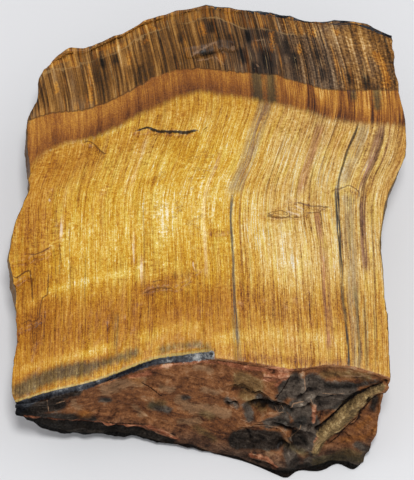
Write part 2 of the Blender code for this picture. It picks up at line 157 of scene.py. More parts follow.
END_STROKES = [
    ("left ridge", 0.9, 3.0, [(-38.4, 19.4), (-36.8, 19.6), (-33.3, 19.8), (-30.8, 18.0), (-27.1, 16.0),
        (-22.9, 13.8), (-20.4, 12.4)]),
    ("salmon ridge", 0.9, 1.8, [(-20.4, 12.4), (-16.1, 9.9), (-13.0, 9.2), (-9.3, 7.7), (-6.8, 6.1)]),
    ("valley under the salmon facet", -1.1, 2.0, [(5.2, 20.7), (8.3, 19.3), (10.6, 18.7)]),
    ("upper hollow", -2.8, 2.2, [(8.8, 15.9), (10.5, 16.1), (12.2, 16.4), (14.7, 17.1)]),
    ("lower hollow", -3.0, 2.1, [(13.5, 12.3), (15.4, 12.3), (18.4, 10.2), (18.5, 8.1)]),
    ("tongue between the hollows", 1.9, 1.4, [(9.8, 14.4), (11.0, 15.1), (12.7, 15.8), (15.0, 16.8)]),
    ("fold of the salmon facet", 0.6, 1.1, [(10.9, 25.6), (13.1, 26.1), (15.5, 26.3)]),
    ("pale rib", 0.9, 1.1, [(18.2, 28.6), (18.4, 25.7), (18.6, 23.5)]),
    ("ridge from the rib", 1.0, 1.4, [(18.4, 23.3), (17.3, 22.5), (16.1, 21.5)]),
    ("knob", 1.7, 2.0, [(16.7, 19.9), (18.3, 20.2)]),
    ("ridge over the grey facet", 0.7, 1.2, [(19.4, 21.5), (21.0, 21.0), (23.8, 21.4), (27.2, 21.4)]),
    ("rib by the hollows", 1.2, 1.3, [(19.4, 21.5), (21.0, 18.3), (21.1, 16.2), (20.7, 14.2)]),
    ("column", 0.9, 1.3, [(19.8, 17.3), (19.2, 14.8), (19.1, 9.8), (18.5, 7.7)]),
    ("golden strip", 0.8, 2.8, [(34.0, 24.2), (31.4, 22.3), (29.5, 19.9), (27.7, 16.8), (25.9, 14.6),
        (23.9, 12.5), (22.3, 10.1), (21.3, 7.3)]),
    ("fissure over the golden strip", -1.5, 1.3, [(34.7, 25.5), (31.3, 22.8), (29.1, 20.5), (27.5, 18.2),
        (26.0, 16.3), (24.4, 14.5), (23.0, 13.1), (22.0, 11.8)]),
    ("ring pit", -1.2, 1.4, [(3.8, 15.4), (4.7, 15.6)]),
    ("dark shelf", -0.9, 4.0, [(6.2, 6.1), (9.5, 6.4), (12.9, 7.1)]),
    ("lower lip", 0.9, 1.8, [(9.0, 3.0), (11.5, 3.5), (13.8, 3.6)]),
    ("lower pits", -0.9, 1.1, [(13.8, 6.7), (15.4, 7.2), (18.4, 6.7)]),
]
END_CHIPS = (6.0, 0.9, 20)
SIDE_CHIPS = (9.0, 1.7, 40)
FAR_CHIPS = (4.5, 0.9, 30)
CHIP_SPREAD = 0.5
CHIP_LEVEL = 0.3
LIP_WIDTH = 0.3
LEDGE_END = 0.15
FACING_UP = (0.5, 0.85)
FACING_OUT = (0.35, 0.7)

# Finer relief than the solid's: small chips, and how ragged the ledges' lips are

SMALL_END_CHIPS = (2.2, 0.5, 60)
SMALL_SIDE_CHIPS = (3.0, 0.5, 64)
BAND_CHIPS = (1.5, 0.28, 68)         # on the granular dark band
RAGGED_LIPS = ((0.35, (1.3, 1.3, 1.3), 70), (0.15, (0.5, 0.5, 0.5), 71))
PLATE_EDGE = (0.28, 0.4)
BAND_EDGE = (-0.6, 0.6)
PLATES = [(0.16, (3.2, 13.0, 30.0), 80), (0.1, (1.3, 6.0, 30.0), 84)]

# Where the fibres run: each guide is one fibre from the near end to the far end, x and y

GUIDE_STEPS = 80
FIBRE_GUIDES = [
    [(-35.2, -41.0), (-35.3, -20.0), (-35.8, -4.0), (-35.4, 3.2), (-33.0, 12.0), (-33.4, 21.0),
     (-36.6, 36.0)],
    [(-13.6, -36.0), (-13.0, -16.6), (-13.1, -8.5), (-13.0, 3.0), (-10.6, 12.0), (-8.4, 20.0),
     (-8.7, 28.0), (-11.8, 44.0)],
    [(6.0, -33.5), (5.4, -24.7), (4.9, -12.0), (4.5, -2.0), (5.2, 3.4), (7.5, 9.3), (9.6, 16.8),
     (11.4, 23.0), (11.2, 30.0), (8.6, 46.0)],
    [(23.5, -33.5), (23.0, -21.0), (22.4, -9.0), (21.5, 0.0), (21.9, 4.9), (23.4, 10.8), (25.4, 16.8),
     (26.4, 21.0), (26.0, 28.0), (22.6, 45.0)],
    [(27.4, -33.6), (27.2, -26.2), (26.6, -21.1), (26.4, -12.6), (26.1, -6.8), (25.9, -1.0),
     (25.8, 3.2), (26.7, 7.3), (28.2, 12.3), (30.3, 17.6), (30.6, 26.0), (27.6, 44.0)],
    [(31.2, -36.0), (31.0, -14.3), (30.8, -8.0), (30.7, -3.9), (31.1, 2.0), (32.3, 6.4),
     (34.3, 10.8), (35.9, 17.4), (36.0, 27.0), (33.6, 42.0)],
]

# Where the bands of the vein meet, as x and y

GOLD_LINE = [
    (-41.0, 4.0), (-37.4, 8.0), (-35.1, 10.4), (-33.3, 12.5), (-29.6, 14.3), (-24.0, 15.0), (-19.0, 17.4),
    (-14.4, 20.4), (-10.2, 22.6), (-6.0, 24.6), (-1.8, 25.6), (4.0, 24.6), (9.3, 23.6), (15.0, 22.6),
    (19.4, 21.4), (23.3, 19.7), (28.9, 18.7), (44.0, 18.4),
]
ORANGE_LINE = [
    (-41.0, 18.6), (-37.2, 19.9), (-32.2, 21.4), (-25.5, 22.0), (-21.0, 23.6), (-17.7, 25.4),
    (-13.8, 27.8), (-11.0, 29.5), (-6.7, 30.8), (-2.5, 31.4), (2.0, 30.9), (6.5, 30.3), (13.9, 30.1),
    (16.4, 28.9), (19.5, 28.0), (23.4, 26.7), (30.5, 26.3), (34.7, 26.8), (44.0, 27.4),
]
# The foot of the vein, where its fibres end on the crust or on the jasper
VEIN_FOOT = [
    (-42.0, -41.4), (-37.3, -40.3), (-34.7, -39.6), (-32.1, -38.9), (-28.7, -38.2), (-24.9, -37.4),
    (-22.3, -36.7), (-19.8, -35.8), (-16.8, -34.6), (-13.8, -33.4), (-11.3, -32.6), (-8.7, -32.1),
    (-4.9, -31.6), (-1.9, -31.2), (0.8, -31.1), (1.0, -32.5), (7.9, -33.3), (15.7, -34.6), (23.6, -33.7),
    (28.5, -34.2), (34.6, -36.0), (42.0, -38.6),
]
RIM_ROUNDING = 0.5
BAND_LEAN = 0.06
CRUST_END = 1.0                      # the crust of the near edge ends at this x
CRUST_LAP = 0.1                      # and laps this far over the foot of the vein
# How far past the far rim the dark crust of the far wall begins: x, distance
FAR_CRUST_EDGE = [(-34.0, 0.3), (-6.0, 0.2), (2.0, -0.8), (39.0, -1.2)]
# Walls low down get the weathered colour, darkened as painted shade.
WALL_HEIGHTS = (22.0, 18.0)          # below the second all walls are weathered, above the first only sides
FACING_AWAY = 0.2                    # a point whose normal has more y than this is on the far wall
FAR_OUTSIDE = 20.0                   # a point counts as no further outside a mark than this
FACE_TILT = (0.3, 0.6)
FACE_LEVEL = 25.0                    # the one height that the face's fibres are read at
SURROUNDINGS = 6                     # rounds of averaging that give the level around a point

# Veins and glints along the fibres, by colour: name, a point on it, half width, near and far end,
# strength

VEINS = [
    ((140, 119, 92), [
        ("brown sheaf above the fold", (8.0, 10.4), 2.3, 1.0, 25.0, 0.7),
        ("grey beside the black vein", (28.3, -12.0), 1.4, -36.0, 4.0, 0.65),
        ("grey beyond the fold", (29.8, 12.3), 1.0, 3.0, 20.0, 0.6),
    ]),
    ((126, 84, 64), [
        ("purple side of the sheaf", (9.6, 15.4), 0.9, 4.0, 25.0, 0.5),
        ("companion of the blue vein", (6.0, -4.0), 0.35, -15.0, 9.0, 0.5),
        ("purple vein", (30.8, -8.0), 0.8, -15.5, 4.0, 0.9),
        ("purple vein beyond the fold", (33.1, 10.4), 0.9, 0.0, 20.0, 0.8),
    ]),
    ((156, 102, 68), [
        ("red vein", (22.6, -12.8), 0.75, -32.0, 0.0, 0.9),
        ("rust side of the red vein", (23.6, -18.0), 0.5, -32.0, -8.0, 0.5),
        ("red vein beyond the step", (20.4, 10.4), 1.4, 0.5, 20.0, 0.75),
        ("fine line in the straw", (16.2, 8.0), 0.3, 1.0, 20.0, 0.4),
        ("line beyond the purple vein", (35.6, 11.0), 0.3, 3.0, 19.0, 0.5),
    ]),
    ((110, 94, 58), [
        ("olive sheaf at the foot", (5.2, -27.0), 1.3, -36.0, -22.0, 0.5),
        ("lines at the right foot", (29.2, -24.0), 0.4, -36.0, -16.0, 0.6),
        ("more lines at the right foot", (30.8, -30.0), 0.6, -36.0, -18.0, 0.55),
        ("wisp at the left foot", (-18.4, -27.0), 0.6, -32.0, -22.0, 0.5),
    ]),
    ((102, 66, 38), [
        ("edge of the red vein", (21.6, 9.8), 0.3, 2.0, 20.0, 0.5),
        ("edge of the purple vein", (34.0, 10.4), 0.24, 0.0, 19.0, 0.6),
        ("dark fine line", (23.4, 10.8), 0.2, 3.0, 20.0, 0.6),
        ("short fine line", (13.0, 8.0), 0.24, 0.0, 19.0, 0.45),
        ("third line at the right foot", (32.6, -30.0), 0.3, -36.0, -20.0, 0.45),
        ("line near the right edge", (32.6, -10.0), 0.25, -30.0, 2.0, 0.45),
        ("brown line on the left", (-13.1, -8.5), 0.25, -19.0, 3.0, 0.45),
        ("first fine line on the left", (-30.0, -10.0), 0.16, -16.0, -5.0, 0.55),
        ("second fine line on the left", (-28.1, -8.0), 0.14, -20.0, -2.0, 0.5),
        ("third fine line on the left", (-24.7, -16.0), 0.16, -22.0, -9.0, 0.55),
    ]),
    ((98, 91, 82), [
        ("blue vein", (4.7, -12.0), 0.45, -31.0, 3.0, 0.8),
        ("grey edge of the black vein", (25.6, 3.4), 0.55, -9.0, 6.5, 0.8),
    ]),
    ((44, 41, 39), [
        ("core of the blue vein", (4.7, -12.0), 0.2, -28.0, 2.0, 0.6),
        ("black vein", (26.2, -12.0), 0.42, -36.0, 4.5, 0.95),
        ("black vein beyond the fold", (28.2, 12.6), 0.28, 2.5, 20.0, 0.85),
    ]),
    # The pale courses are painted glints of light along the fibres.
    ((244, 228, 206), [
        ("pale streak", (-0.8, 2.0), 0.6, -17.0, 12.0, 0.2),
        ("pale streak on the left", (-13.6, -14.0), 0.4, -18.0, -10.0, 0.25),
        ("pale streak above it", (-15.2, -9.0), 0.3, -14.0, -4.0, 0.18),
        ("slanted pale streak", (-14.6, 9.0), 0.5, 3.0, 17.0, 0.14),
        ("bright streak at the left", (-29.8, -4.6), 0.4, -8.0, -1.0, 0.4),
    ]),
]
VEIN_TIP = 3.0       # length over which a vein fades in or out
SOLID_VEIN = 0.28    # half width up to which a vein is broken, not split into hairs

# Brighter and darker ground on the upper face: strength, width, path (x, y). The brighter bands are painted
# sheen of the fibres, with a painted highlight along the gold line; the darker ground is partly the stone's
# own tone, partly painted shade beside the flake, the step and the nick.

SHEEN_AND_SHADE = [
    (0.6, 1.5, [(-35.8, -20.5), (-32.1, -17.9), (-25.8, -16.2), (-18.8, -14.7), (-13.9, -13.9)]),
    (0.5, 1.8, [(-37.2, -34.9), (-34.5, -33.3), (-29.1, -32.1), (-24.0, -31.1), (-20.0, -29.7)]),
    (0.4, 1.8, [(-12.8, -28.0), (-6.3, -26.2), (-2.3, -26.0)]),
    (0.4, 2.2, [(1.1, -28.8), (10.2, -27.5), (19.2, -27.8), (25.2, -28.8)]),
    (0.4, 9.0, [(-26.0, -8.0), (-20.0, -6.0), (-8.0, -4.0)]),
    (0.5, 12.0, [(-8.0, 3.0), (4.0, 2.0), (14.0, -10.0), (18.0, -14.0)]),
    (0.35, 8.0, [(0.0, 16.0), (10.0, 12.0), (20.0, 10.0)]),
    (-0.45, 8.0, [(-33.0, -27.0), (-21.6, -24.5), (-8.0, -21.5)]),
    (-0.4, 2.0, [(-36.5, -35.6), (-28.0, -34.4), (-21.0, -32.4)]),
    (-0.35, 6.0, [(-35.0, -3.0), (-36.0, -12.0), (-35.0, -28.0)]),
    (-0.35, 5.0, [(-33.4, 8.5), (-29.0, 8.0), (-25.0, 11.0)]),
    (-0.45, 8.0, [(0.0, -21.0), (12.0, -21.0), (24.0, -22.0)]),
    (-0.5, 2.4, [(-13.6, -18.2), (-9.0, -16.6), (-4.0, -15.2)]),
    (-0.3, 1.6, [(10.5, -2.2), (18.5, -1.5)]),
    (-0.5, 1.4, [(0.5, -6.2), (4.4, -6.1)]),
    (-0.6, 1.6, [(-12.6, 4.6), (-10.8, 5.6)]),
    (-0.7, 1.6, [(6.0, -32.6), (14.1, -32.8), (20.9, -33.4), (26.9, -33.6)]),
    (0.5, 1.0, [(-35.7, 10.5), (-32.4, 12.9), (-28.7, 14.5), (-24.5, 15.2), (-20.4, 16.5),
        (-15.8, 18.6)]),
    (0.5, 2.0, [(-20.0, 37.0), (-17.4, 33.0)]),
    (0.4, 4.0, [(24.0, 40.0), (32.0, 38.0)]),
]
# On the bands beyond the golden face: spots of bright rust, and black ones
RUST_SPOTS = [
    (0.6, [(-12.0, 42.2), (-10.8, 41.6)]),
    (0.5, [(-13.8, 37.8), (-13.1, 38.8)]),
    (0.45, [(-16.7, 35.6), (-16.7, 32.8)]),
    (0.4, [(-31.8, 28.6), (-31.6, 26.4)]),
    (0.5, [(-25.1, 32.6), (-24.7, 28.9), (-24.4, 23.8)]),
    (0.5, [(-1.6, 42.6), (-1.1, 40.2)]),
    (0.9, [(34.8, 35.8), (35.9, 33.3), (36.9, 29.6), (36.5, 28.0)]),
    (0.6, [(26.6, 41.4), (26.8, 40.6)]),
    (0.6, [(21.8, 41.0), (21.7, 39.8)]),
    (0.5, [(13.0, 40.4), (13.0, 36.0)]),
    (0.5, [(18.8, 37.4), (18.8, 35.6)]),
    (0.7, [(-22.8, 37.0), (-19.4, 38.4)]),
    (0.7, [(-33.0, 33.4), (-29.6, 34.8)]),
]
BLACK_SPOTS = [
    (0.8, [(0.3, 42.6), (0.4, 41.0)]),
    (0.8, [(4.4, 39.4), (4.9, 37.5)]),
    (0.9, [(-1.6, 35.8), (0.4, 35.6)]),
    (0.7, [(-5.9, 39.8), (-6.0, 38.4)]),
    (0.8, [(-14.4, 31.8), (-14.3, 28.2)]),
    (0.8, [(-22.4, 34.2), (-22.2, 32.8)]),
    (0.8, [(-19.6, 35.2), (-19.4, 33.6)]),
    (1.3, [(6.6, 35.4), (7.2, 33.6)]),
    (0.9, [(8.0, 40.2), (8.2, 38.6)]),
    (0.9, [(11.5, 41.4), (11.6, 39.8)]),
    (1.6, [(11.8, 35.4), (12.4, 32.4)]),
    (0.9, [(15.7, 38.2), (15.9, 35.6)]),
    (0.9, [(17.8, 35.0), (18.0, 33.2)]),
    (0.8, [(22.4, 35.8), (22.6, 34.2)]),
    (0.8, [(23.5, 31.2), (23.6, 29.4)]),
    (0.9, [(29.1, 30.0), (29.3, 28.4)]),
    (0.9, [(32.5, 29.6), (32.6, 27.6)]),
    (1.4, [(9.6, 31.8), (10.1, 23.4)]),
    (1.1, [(12.7, 31.2), (12.9, 23.6)]),
    (1.0, [(34.5, 27.4), (34.6, 22.6)]),
    (0.7, [(29.6, 26.4), (29.6, 24.6)]),
    (0.3, [(-33.7, 31.0), (-34.9, 25.8), (-37.2, 20.3), (-37.6, 12.0)]),
]
OLIVE_SHADE = [
    (1.5, [(-37.3, -38.2), (-33.5, -36.4), (-30.0, -35.2), (-27.1, -34.6), (-24.1, -34.2)]),
    (0.9, [(-24.1, -34.2), (-19.0, -32.5), (-14.7, -31.2)]),
    (0.5, [(-9.6, -30.8), (-6.1, -29.9), (-2.7, -29.8), (-0.4, -30.5)]),
]

# The jasper end's marks are placed on a plane that leans back: across it x, up it a share of y and of z
LEAN_UP = (0.927, 0.375)
CRUST_FOOT = [
    (-38.9, -32.1), (-34.1, -28.5), (-30.4, -27.3), (-26.9, -26.4), (-24.0, -26.0), (-20.6, -24.6),
    (-17.1, -23.5), (-13.8, -22.3), (-11.2, -21.4), (-7.7, -20.8), (-4.3, -20.7), (-1.4, -20.3),
    (1.2, -19.9),
]
# Under this line the lowest edge of the stone is painted black, as painted shadow along its foot
SHADOW_FRINGE_LINE = [
    (-37.9, -30.7), (-34.8, -32.8), (-31.7, -34.5), (-28.2, -35.5), (-23.0, -35.8), (-18.7, -35.6),
    (-15.1, -36.4), (-11.1, -37.5), (-9.0, -38.1), (-4.1, -38.2), (0.8, -40.2), (5.3, -40.8),
    (7.6, -41.8), (12.9, -43.6), (16.3, -43.7), (19.4, -43.2), (24.8, -41.7), (28.4, -41.9),
    (30.5, -42.8), (33.1, -40.2),
]

# Coloured ground of the jasper end: width, path on the leaning plane

# Near black: partly the stone's dark mineral, partly painted shade in its hollows and recesses.
INK = [
    (1.6, [(-36.5, -30.3), (-32.7, -29.4), (-29.7, -28.8)]),
    (1.0, [(-31.2, -27.7), (-28.2, -27.1), (-26.1, -26.5)]),
    (0.9, [(-37.8, -30.9), (-33.0, -31.5), (-28.0, -31.9), (-23.4, -32.4)]),
    (0.9, [(10.0, -27.9), (12.6, -29.4), (16.0, -30.2)]),
    (0.7, [(12.2, -29.8), (14.8, -30.9)]),
    (1.1, [(14.2, -33.1), (16.4, -34.0), (18.6, -32.7)]),
    (2.3, [(5.9, -37.2), (9.8, -37.0), (13.0, -37.4)]),
    (0.5, [(18.6, -36.4), (19.8, -38.0)]),
    (0.6, [(23.1, -25.4), (27.4, -25.6), (33.1, -24.4)]),
    (0.3, [(31.8, -25.7), (28.4, -28.0), (25.8, -30.3), (23.5, -32.9), (21.6, -34.4)]),
    (0.5, [(23.3, -31.1), (25.9, -29.2), (29.3, -26.9)]),
    (0.8, [(33.0, -28.2), (32.5, -30.3)]),
    (0.4, [(-20.8, -28.1), (-19.9, -28.5)]),
    (0.5, [(6.3, -42.8), (12.9, -43.8), (16.3, -43.7), (20.4, -42.5)]),
]
GREY = [
    (1.1, [(16.9, -23.5), (15.8, -26.5), (14.1, -28.0)]),
    (2.4, [(15.5, -25.4), (21.0, -27.0), (27.0, -26.6)]),
    (2.4, [(17.6, -30.0), (20.0, -33.6), (19.0, -37.6)]),
    (1.4, [(12.0, -33.4), (15.0, -32.4)]),
    (0.9, [(16.4, -29.6), (19.0, -28.9)]),
    (1.8, [(20.1, -24.5), (23.1, -26.6), (25.7, -26.7)]),
    (1.6, [(22.1, -29.2), (25.1, -29.0)]),
    (0.7, [(18.7, -31.4), (18.4, -34.2), (16.6, -36.9)]),
    (1.1, [(23.5, -34.1), (21.6, -37.1), (21.1, -39.7)]),
    (1.0, [(7.4, -29.8), (8.2, -32.5)]),
    (1.5, [(16.2, -39.1), (17.1, -42.4)]),
    (0.9, [(-11.4, -29.8), (-8.4, -30.9)]),
    (0.6, [(-21.6, -28.3), (-19.9, -28.3)]),
    (0.6, [(-5.2, -28.1), (-4.2, -28.1)]),
    (0.7, [(3.4, -28.5), (5.4, -29.8)]),
    (1.3, [(20.4, -42.0), (24.8, -41.7), (30.2, -42.1)]),
    (0.9, [(30.0, -38.1), (32.2, -39.2)]),
]
OLIVE = [
    (1.9, [(6.3, -24.4), (8.9, -25.8)]),
    (1.2, [(6.8, -27.4), (10.4, -29.8)]),
    (0.8, [(22.6, -22.9), (26.9, -23.0), (31.0, -23.6)]),
    (0.9, [(-1.4, -31.6), (0.4, -32.2)]),
    (0.9, [(-11.8, -29.8), (-9.6, -29.2)]),
    (0.8, [(-2.6, -34.6), (0.8, -37.1)]),
    (1.2, [(22.0, -42.0), (28.3, -40.2), (32.2, -41.4)]),
    (0.7, [(15.1, -37.8), (19.3, -40.0)]),
]
SALMON = [
    (0.25, [(-13.8, -23.4), (-11.2, -22.0), (-6.1, -20.9), (-1.4, -20.5), (3.7, -20.9)]),
    (0.5, [(3.7, -20.9), (8.0, -21.9), (12.3, -22.0), (16.1, -22.0)]),
    (0.8, [(11.4, -23.7), (14.9, -23.4)]),
    (0.4, [(13.2, -25.3), (14.0, -24.5)]),
    (0.35, [(20.8, -29.7), (20.8, -32.9)]),
    (0.35, [(23.7, -34.3), (22.3, -35.2), (21.4, -37.5)]),
    (0.3, [(-21.1, -33.5), (-16.0, -34.1), (-11.5, -34.6), (-8.9, -35.7), (-6.3, -37.3)]),
    (0.5, [(-12.3, -34.5), (-8.5, -36.1)]),
    (0.45, [(8.4, -40.6), (11.6, -41.1), (13.5, -43.1)]),
    (0.12, [(-36.6, -31.3), (-31.0, -32.4), (-24.6, -33.1), (-21.1, -33.3)]),
    (0.4, [(-15.6, -23.5), (-11.6, -22.9)]),
]
TAN = [
    (1.2, [(-20.7, -26.3), (-17.2, -24.9), (-13.8, -24.6)]),
    (0.9, [(-9.5, -25.9), (-7.4, -26.4)]),
    (0.8, [(-27.0, -28.5), (-26.0, -29.9)]),
    (0.7, [(-2.6, -21.7), (-0.0, -22.2)]),
    (0.8, [(-1.4, -26.4), (1.6, -27.0)]),
    (1.3, [(-6.0, -28.6), (-3.0, -30.4), (3.4, -31.4)]),
    (0.9, [(-6.0, -33.6), (-2.0, -33.0)]),
    (0.5, [(10.4, -31.7), (14.8, -31.1)]),
    (0.8, [(-15.2, -29.8), (-13.7, -31.8)]),
]
GOLDEN_STRIP = [
    (0.9, [(33.5, -25.7), (31.8, -26.7)]),
    (1.3, [(31.2, -27.4), (29.7, -28.6)]),
    (1.9, [(28.4, -29.9), (26.0, -32.5)]),
    (1.8, [(25.2, -33.7), (23.3, -35.5)]),
    (0.9, [(22.8, -36.6), (21.5, -39.5)]),
]
RED = [
    (1.0, [(-25.3, -31.4), (-24.3, -31.4)]),
    (0.7, [(27.2, -37.2), (31.9, -36.4), (33.6, -34.2)]),
    (0.7, [(29.9, -34.5), (32.3, -32.4)]),
    (0.8, [(-13.8, -24.6), (-15.6, -23.7)]),
]

# Thin splits, drawn dark as painted shade in the cracks: width, path

TOP_SPLITS = [
    (0.32, [(-15.9, 16.9), (-14.5, 16.8), (-13.5, 17.2), (-12.7, 17.4), (-11.4, 16.9), (-9.8, 16.5),
        (-8.1, 16.3), (-6.3, 16.3), (-4.7, 16.1), (-3.7, 16.5), (-2.5, 16.7), (-1.5, 16.2)]),
    (0.16, [(-1.5, 16.4), (-0.8, 17.0), (-0.4, 17.5)]),
    (0.2, [(-26.0, 14.0), (-24.9, 14.7), (-23.7, 14.0), (-22.6, 12.8), (-21.4, 11.5), (-20.5, 11.7)]),
    (0.2, [(-36.5, -9.9), (-35.2, -10.0), (-33.9, -9.6), (-32.8, -9.0), (-31.6, -8.2)]),
    (0.22, [(-40.0, -13.6), (-38.7, -14.6), (-37.6, -13.8), (-36.8, -13.1), (-35.9, -13.2),
        (-35.7, -14.8), (-35.4, -17.2), (-35.2, -19.7), (-35.4, -20.6)]),
    (0.2, [(-32.0, -13.1), (-32.2, -14.6), (-32.2, -16.6), (-32.3, -18.6), (-33.3, -19.3), (-33.6, -21.6),
        (-33.8, -23.7), (-35.0, -24.3), (-35.9, -23.9), (-37.2, -24.6), (-38.3, -24.7)]),
    (0.16, [(-35.1, -24.5), (-35.0, -26.9), (-34.7, -29.2)]),
    (0.14, [(-30.2, -7.2), (-29.9, -10.0), (-29.6, -12.5)]),
    (0.16, [(-13.6, -19.2), (-12.9, -18.9), (-11.9, -18.3), (-10.7, -18.0), (-9.4, -17.9), (-8.2, -17.9),
        (-6.9, -18.1)]),
    (0.14, [(-6.9, -14.5), (-6.9, -16.4)]),
    (0.14, [(-11.6, -16.7), (-10.2, -16.3), (-9.2, -16.3)]),
    (0.2, [(11.0, -2.5), (11.4, -2.5), (12.7, -2.7), (14.4, -2.9), (15.9, -2.8), (17.2, -2.7),
        (18.6, -2.8)]),
    (0.14, [(11.2, -2.3), (12.7, -1.8), (14.4, -1.3), (15.5, -2.0), (17.0, -2.7)]),
    (0.18, [(19.0, -2.0), (20.1, -1.8), (22.3, -1.8), (22.4, -2.7), (22.6, -5.5)]),
    (0.18, [(17.1, 0.4), (17.9, 0.3), (19.1, 0.0), (20.9, -0.4), (22.8, -0.6), (24.7, -0.7)]),
    (0.16, [(24.5, 3.1), (25.9, 3.5), (26.9, 3.7), (28.2, 4.3), (29.5, 3.6), (30.4, 2.5), (30.1, 1.2)]),
    (0.12, [(19.0, -2.5), (19.0, -5.5)]),
]
END_SPLITS = [
    (0.26, [(34.6, -24.3), (31.8, -25.5), (28.4, -27.7), (26.0, -30.1), (23.7, -32.6), (21.5, -34.2),
        (20.5, -35.4)]),
    (0.14, [(-13.8, -24.6), (-11.7, -25.9), (-9.2, -28.1)]),
    (0.16, [(-21.5, -33.1), (-17.6, -33.7), (-12.3, -33.9)]),
    (0.16, [(30.2, -31.2), (27.9, -33.7), (26.2, -36.3), (23.8, -38.4)]),
    (0.14, [(33.7, -27.1), (32.0, -28.4), (30.4, -31.0)]),
    (0.14, [(16.1, -22.8), (14.6, -25.9), (12.7, -28.6)]),
]
# Thin painted highlights along the edges where facets of the jasper meet
END_HIGHLIGHTS = [
    (0.14, [(18.4, -22.2), (18.7, -24.2), (18.9, -26.5)]),
    (0.14, [(12.8, -29.0), (14.0, -29.3), (15.4, -28.8)]),
    (0.14, [(16.0, -30.4), (16.6, -28.9), (18.8, -28.5)]),
    (0.12, [(19.7, -27.7), (20.4, -29.0), (20.9, -30.3)]),
    (0.14, [(5.1, -34.5), (8.3, -34.2), (11.7, -34.0), (14.3, -34.6), (16.1, -36.7)]),
    (0.14, [(18.4, -33.4), (17.8, -35.4), (16.1, -36.7)]),
    (0.12, [(10.4, -31.7), (13.0, -31.3), (15.2, -30.9)]),
    (0.14, [(3.8, -28.4), (4.8, -28.0), (5.6, -29.0), (5.6, -30.0), (4.4, -30.2), (3.8, -29.4)]),
    (0.1, [(-31.8, -27.7), (-31.8, -30.7)]),
    (0.1, [(-30.3, -28.8), (-28.3, -28.2)]),
    (0.12, [(8.4, -40.2), (10.6, -40.8), (12.0, -41.1)]),
    (0.12, [(20.7, -40.0), (21.0, -38.6), (22.4, -36.8)]),
    (0.1, [(25.5, -23.3), (29.1, -23.4), (31.6, -23.2)]),
    (0.1, [(21.9, -26.8), (25.0, -27.2), (27.1, -26.8)]),
    (0.12, [(-11.9, -34.6), (-8.9, -35.5), (-6.7, -36.8)]),
    (0.1, [(6.0, -32.5), (7.8, -33.3), (9.2, -32.8)]),
]
# Thin pale marks on the upper face: painted highlights on the lips of the step and of the hollow in the dark
# band, and pale flecks and streaks
TOP_EDGES = [
    (0.35, [(-32.4, 1.7), (-32.3, 1.1)]),
    (0.3, [(-29.8, -3.5), (-29.7, -6.2)]),
    (0.3, [(-13.5, -12.3), (-13.7, -16.0)]),
    (0.16, [(-15.4, -7.8), (-15.0, -12.8)]),
    (0.3, [(17.3, -0.3), (18.2, -0.8), (18.9, -1.3)]),
    (0.25, [(15.3, -1.5), (16.5, -2.1), (18.1, -2.5)]),
    (0.2, [(-3.3, -12.6), (-3.1, -14.1)]),
    (0.3, [(2.4, 37.2), (2.5, 35.9)]),
    (0.5, [(4.7, 37.4), (5.0, 36.1)]),
    (0.3, [(9.7, 32.5), (10.3, 31.8)]),
    (0.3, [(-3.9, 34.8), (-2.8, 35.9), (-0.2, 37.2), (1.5, 38.4)]),
    (0.25, [(-2.8, 33.2), (-0.2, 33.7), (1.2, 34.3)]),
    (0.3, [(2.6, 36.6), (2.9, 35.0)]),
    (0.2, [(3.2, 32.0), (0.9, 34.5)]),
    (0.2, [(9.4, 38.4), (11.7, 38.8)]),
]
SPLIT_REACH = (0.8, 1.2)
SPLIT_END = 0.14

# Colours of the stone: place in the run, then red, green and blue

GOLD = [
    (0.0, (88, 44, 8)), (0.2, (144, 84, 16)), (0.38, (184, 124, 22)), (0.54, (210, 154, 34)),
    (0.7, (228, 186, 70)), (0.86, (244, 218, 140)), (1.0, (255, 246, 222)),
]
STRAW = [
    (0.0, (84, 56, 34)), (0.2, (136, 98, 56)), (0.38, (186, 144, 78)), (0.54, (216, 178, 104)),
    (0.7, (234, 204, 142)), (0.86, (244, 230, 190)), (1.0, (255, 250, 238)),
]
AMBER = [(0.0, (78, 38, 10)), (0.35, (160, 94, 20)), (0.65, (198, 132, 36)), (1.0, (236, 190, 92))]
OLIVE_RUN = [(0.0, (26, 23, 16)), (0.4, (76, 65, 40)), (0.7, (122, 104, 64)), (1.0, (198, 178, 122))]
ORANGE = [
    (0.0, (32, 20, 12)), (0.25, (88, 46, 22)), (0.5, (150, 90, 34)), (0.72, (202, 140, 54)),
    (1.0, (246, 208, 128)),
]
DARK = [
    (0.0, (16, 14, 12)), (0.22, (44, 32, 20)), (0.42, (88, 58, 28)), (0.6, (136, 92, 42)),
    (0.8, (184, 136, 72)), (1.0, (230, 196, 142)),
]
RUST = [
    (0.0, (60, 34, 12)), (0.35, (116, 66, 22)), (0.6, (166, 102, 34)), (0.8, (210, 148, 58)),
    (1.0, (238, 192, 112)),
]
# Weathered walls, darkened to stand for their shade.
WEATHERED_AND_SHADED = [(0.0, (18, 13, 8)), (0.45, (66, 46, 24)), (0.75, (110, 80, 42)), (1.0, (164, 128, 80))]
JASPER = [
    (0.0, (22, 14, 11)), (0.25, (66, 40, 28)), (0.45, (116, 73, 45)), (0.62, (150, 99, 61)),
    (0.8, (176, 134, 98)), (1.0, (222, 194, 162)),
]
LILAC_GREY = [(0.0, (16, 13, 12)), (0.4, (64, 55, 48)), (0.7, (108, 96, 84)), (1.0, (186, 170, 150))]
INK_RUN = [
    (0.0, (6, 6, 5)), (0.4, (28, 26, 23)), (0.65, (56, 52, 47)), (0.85, (98, 92, 84)),
    (1.0, (166, 156, 142)),
]
SALMON_RUN = [
    (0.0, (80, 42, 26)), (0.35, (134, 78, 52)), (0.55, (172, 108, 76)), (0.75, (208, 152, 116)),
    (1.0, (240, 206, 176)),
]
STRIP_RUN = [(0.0, (40, 32, 22)), (0.4, (104, 84, 56)), (0.7, (154, 126, 82)), (1.0, (220, 194, 142))]
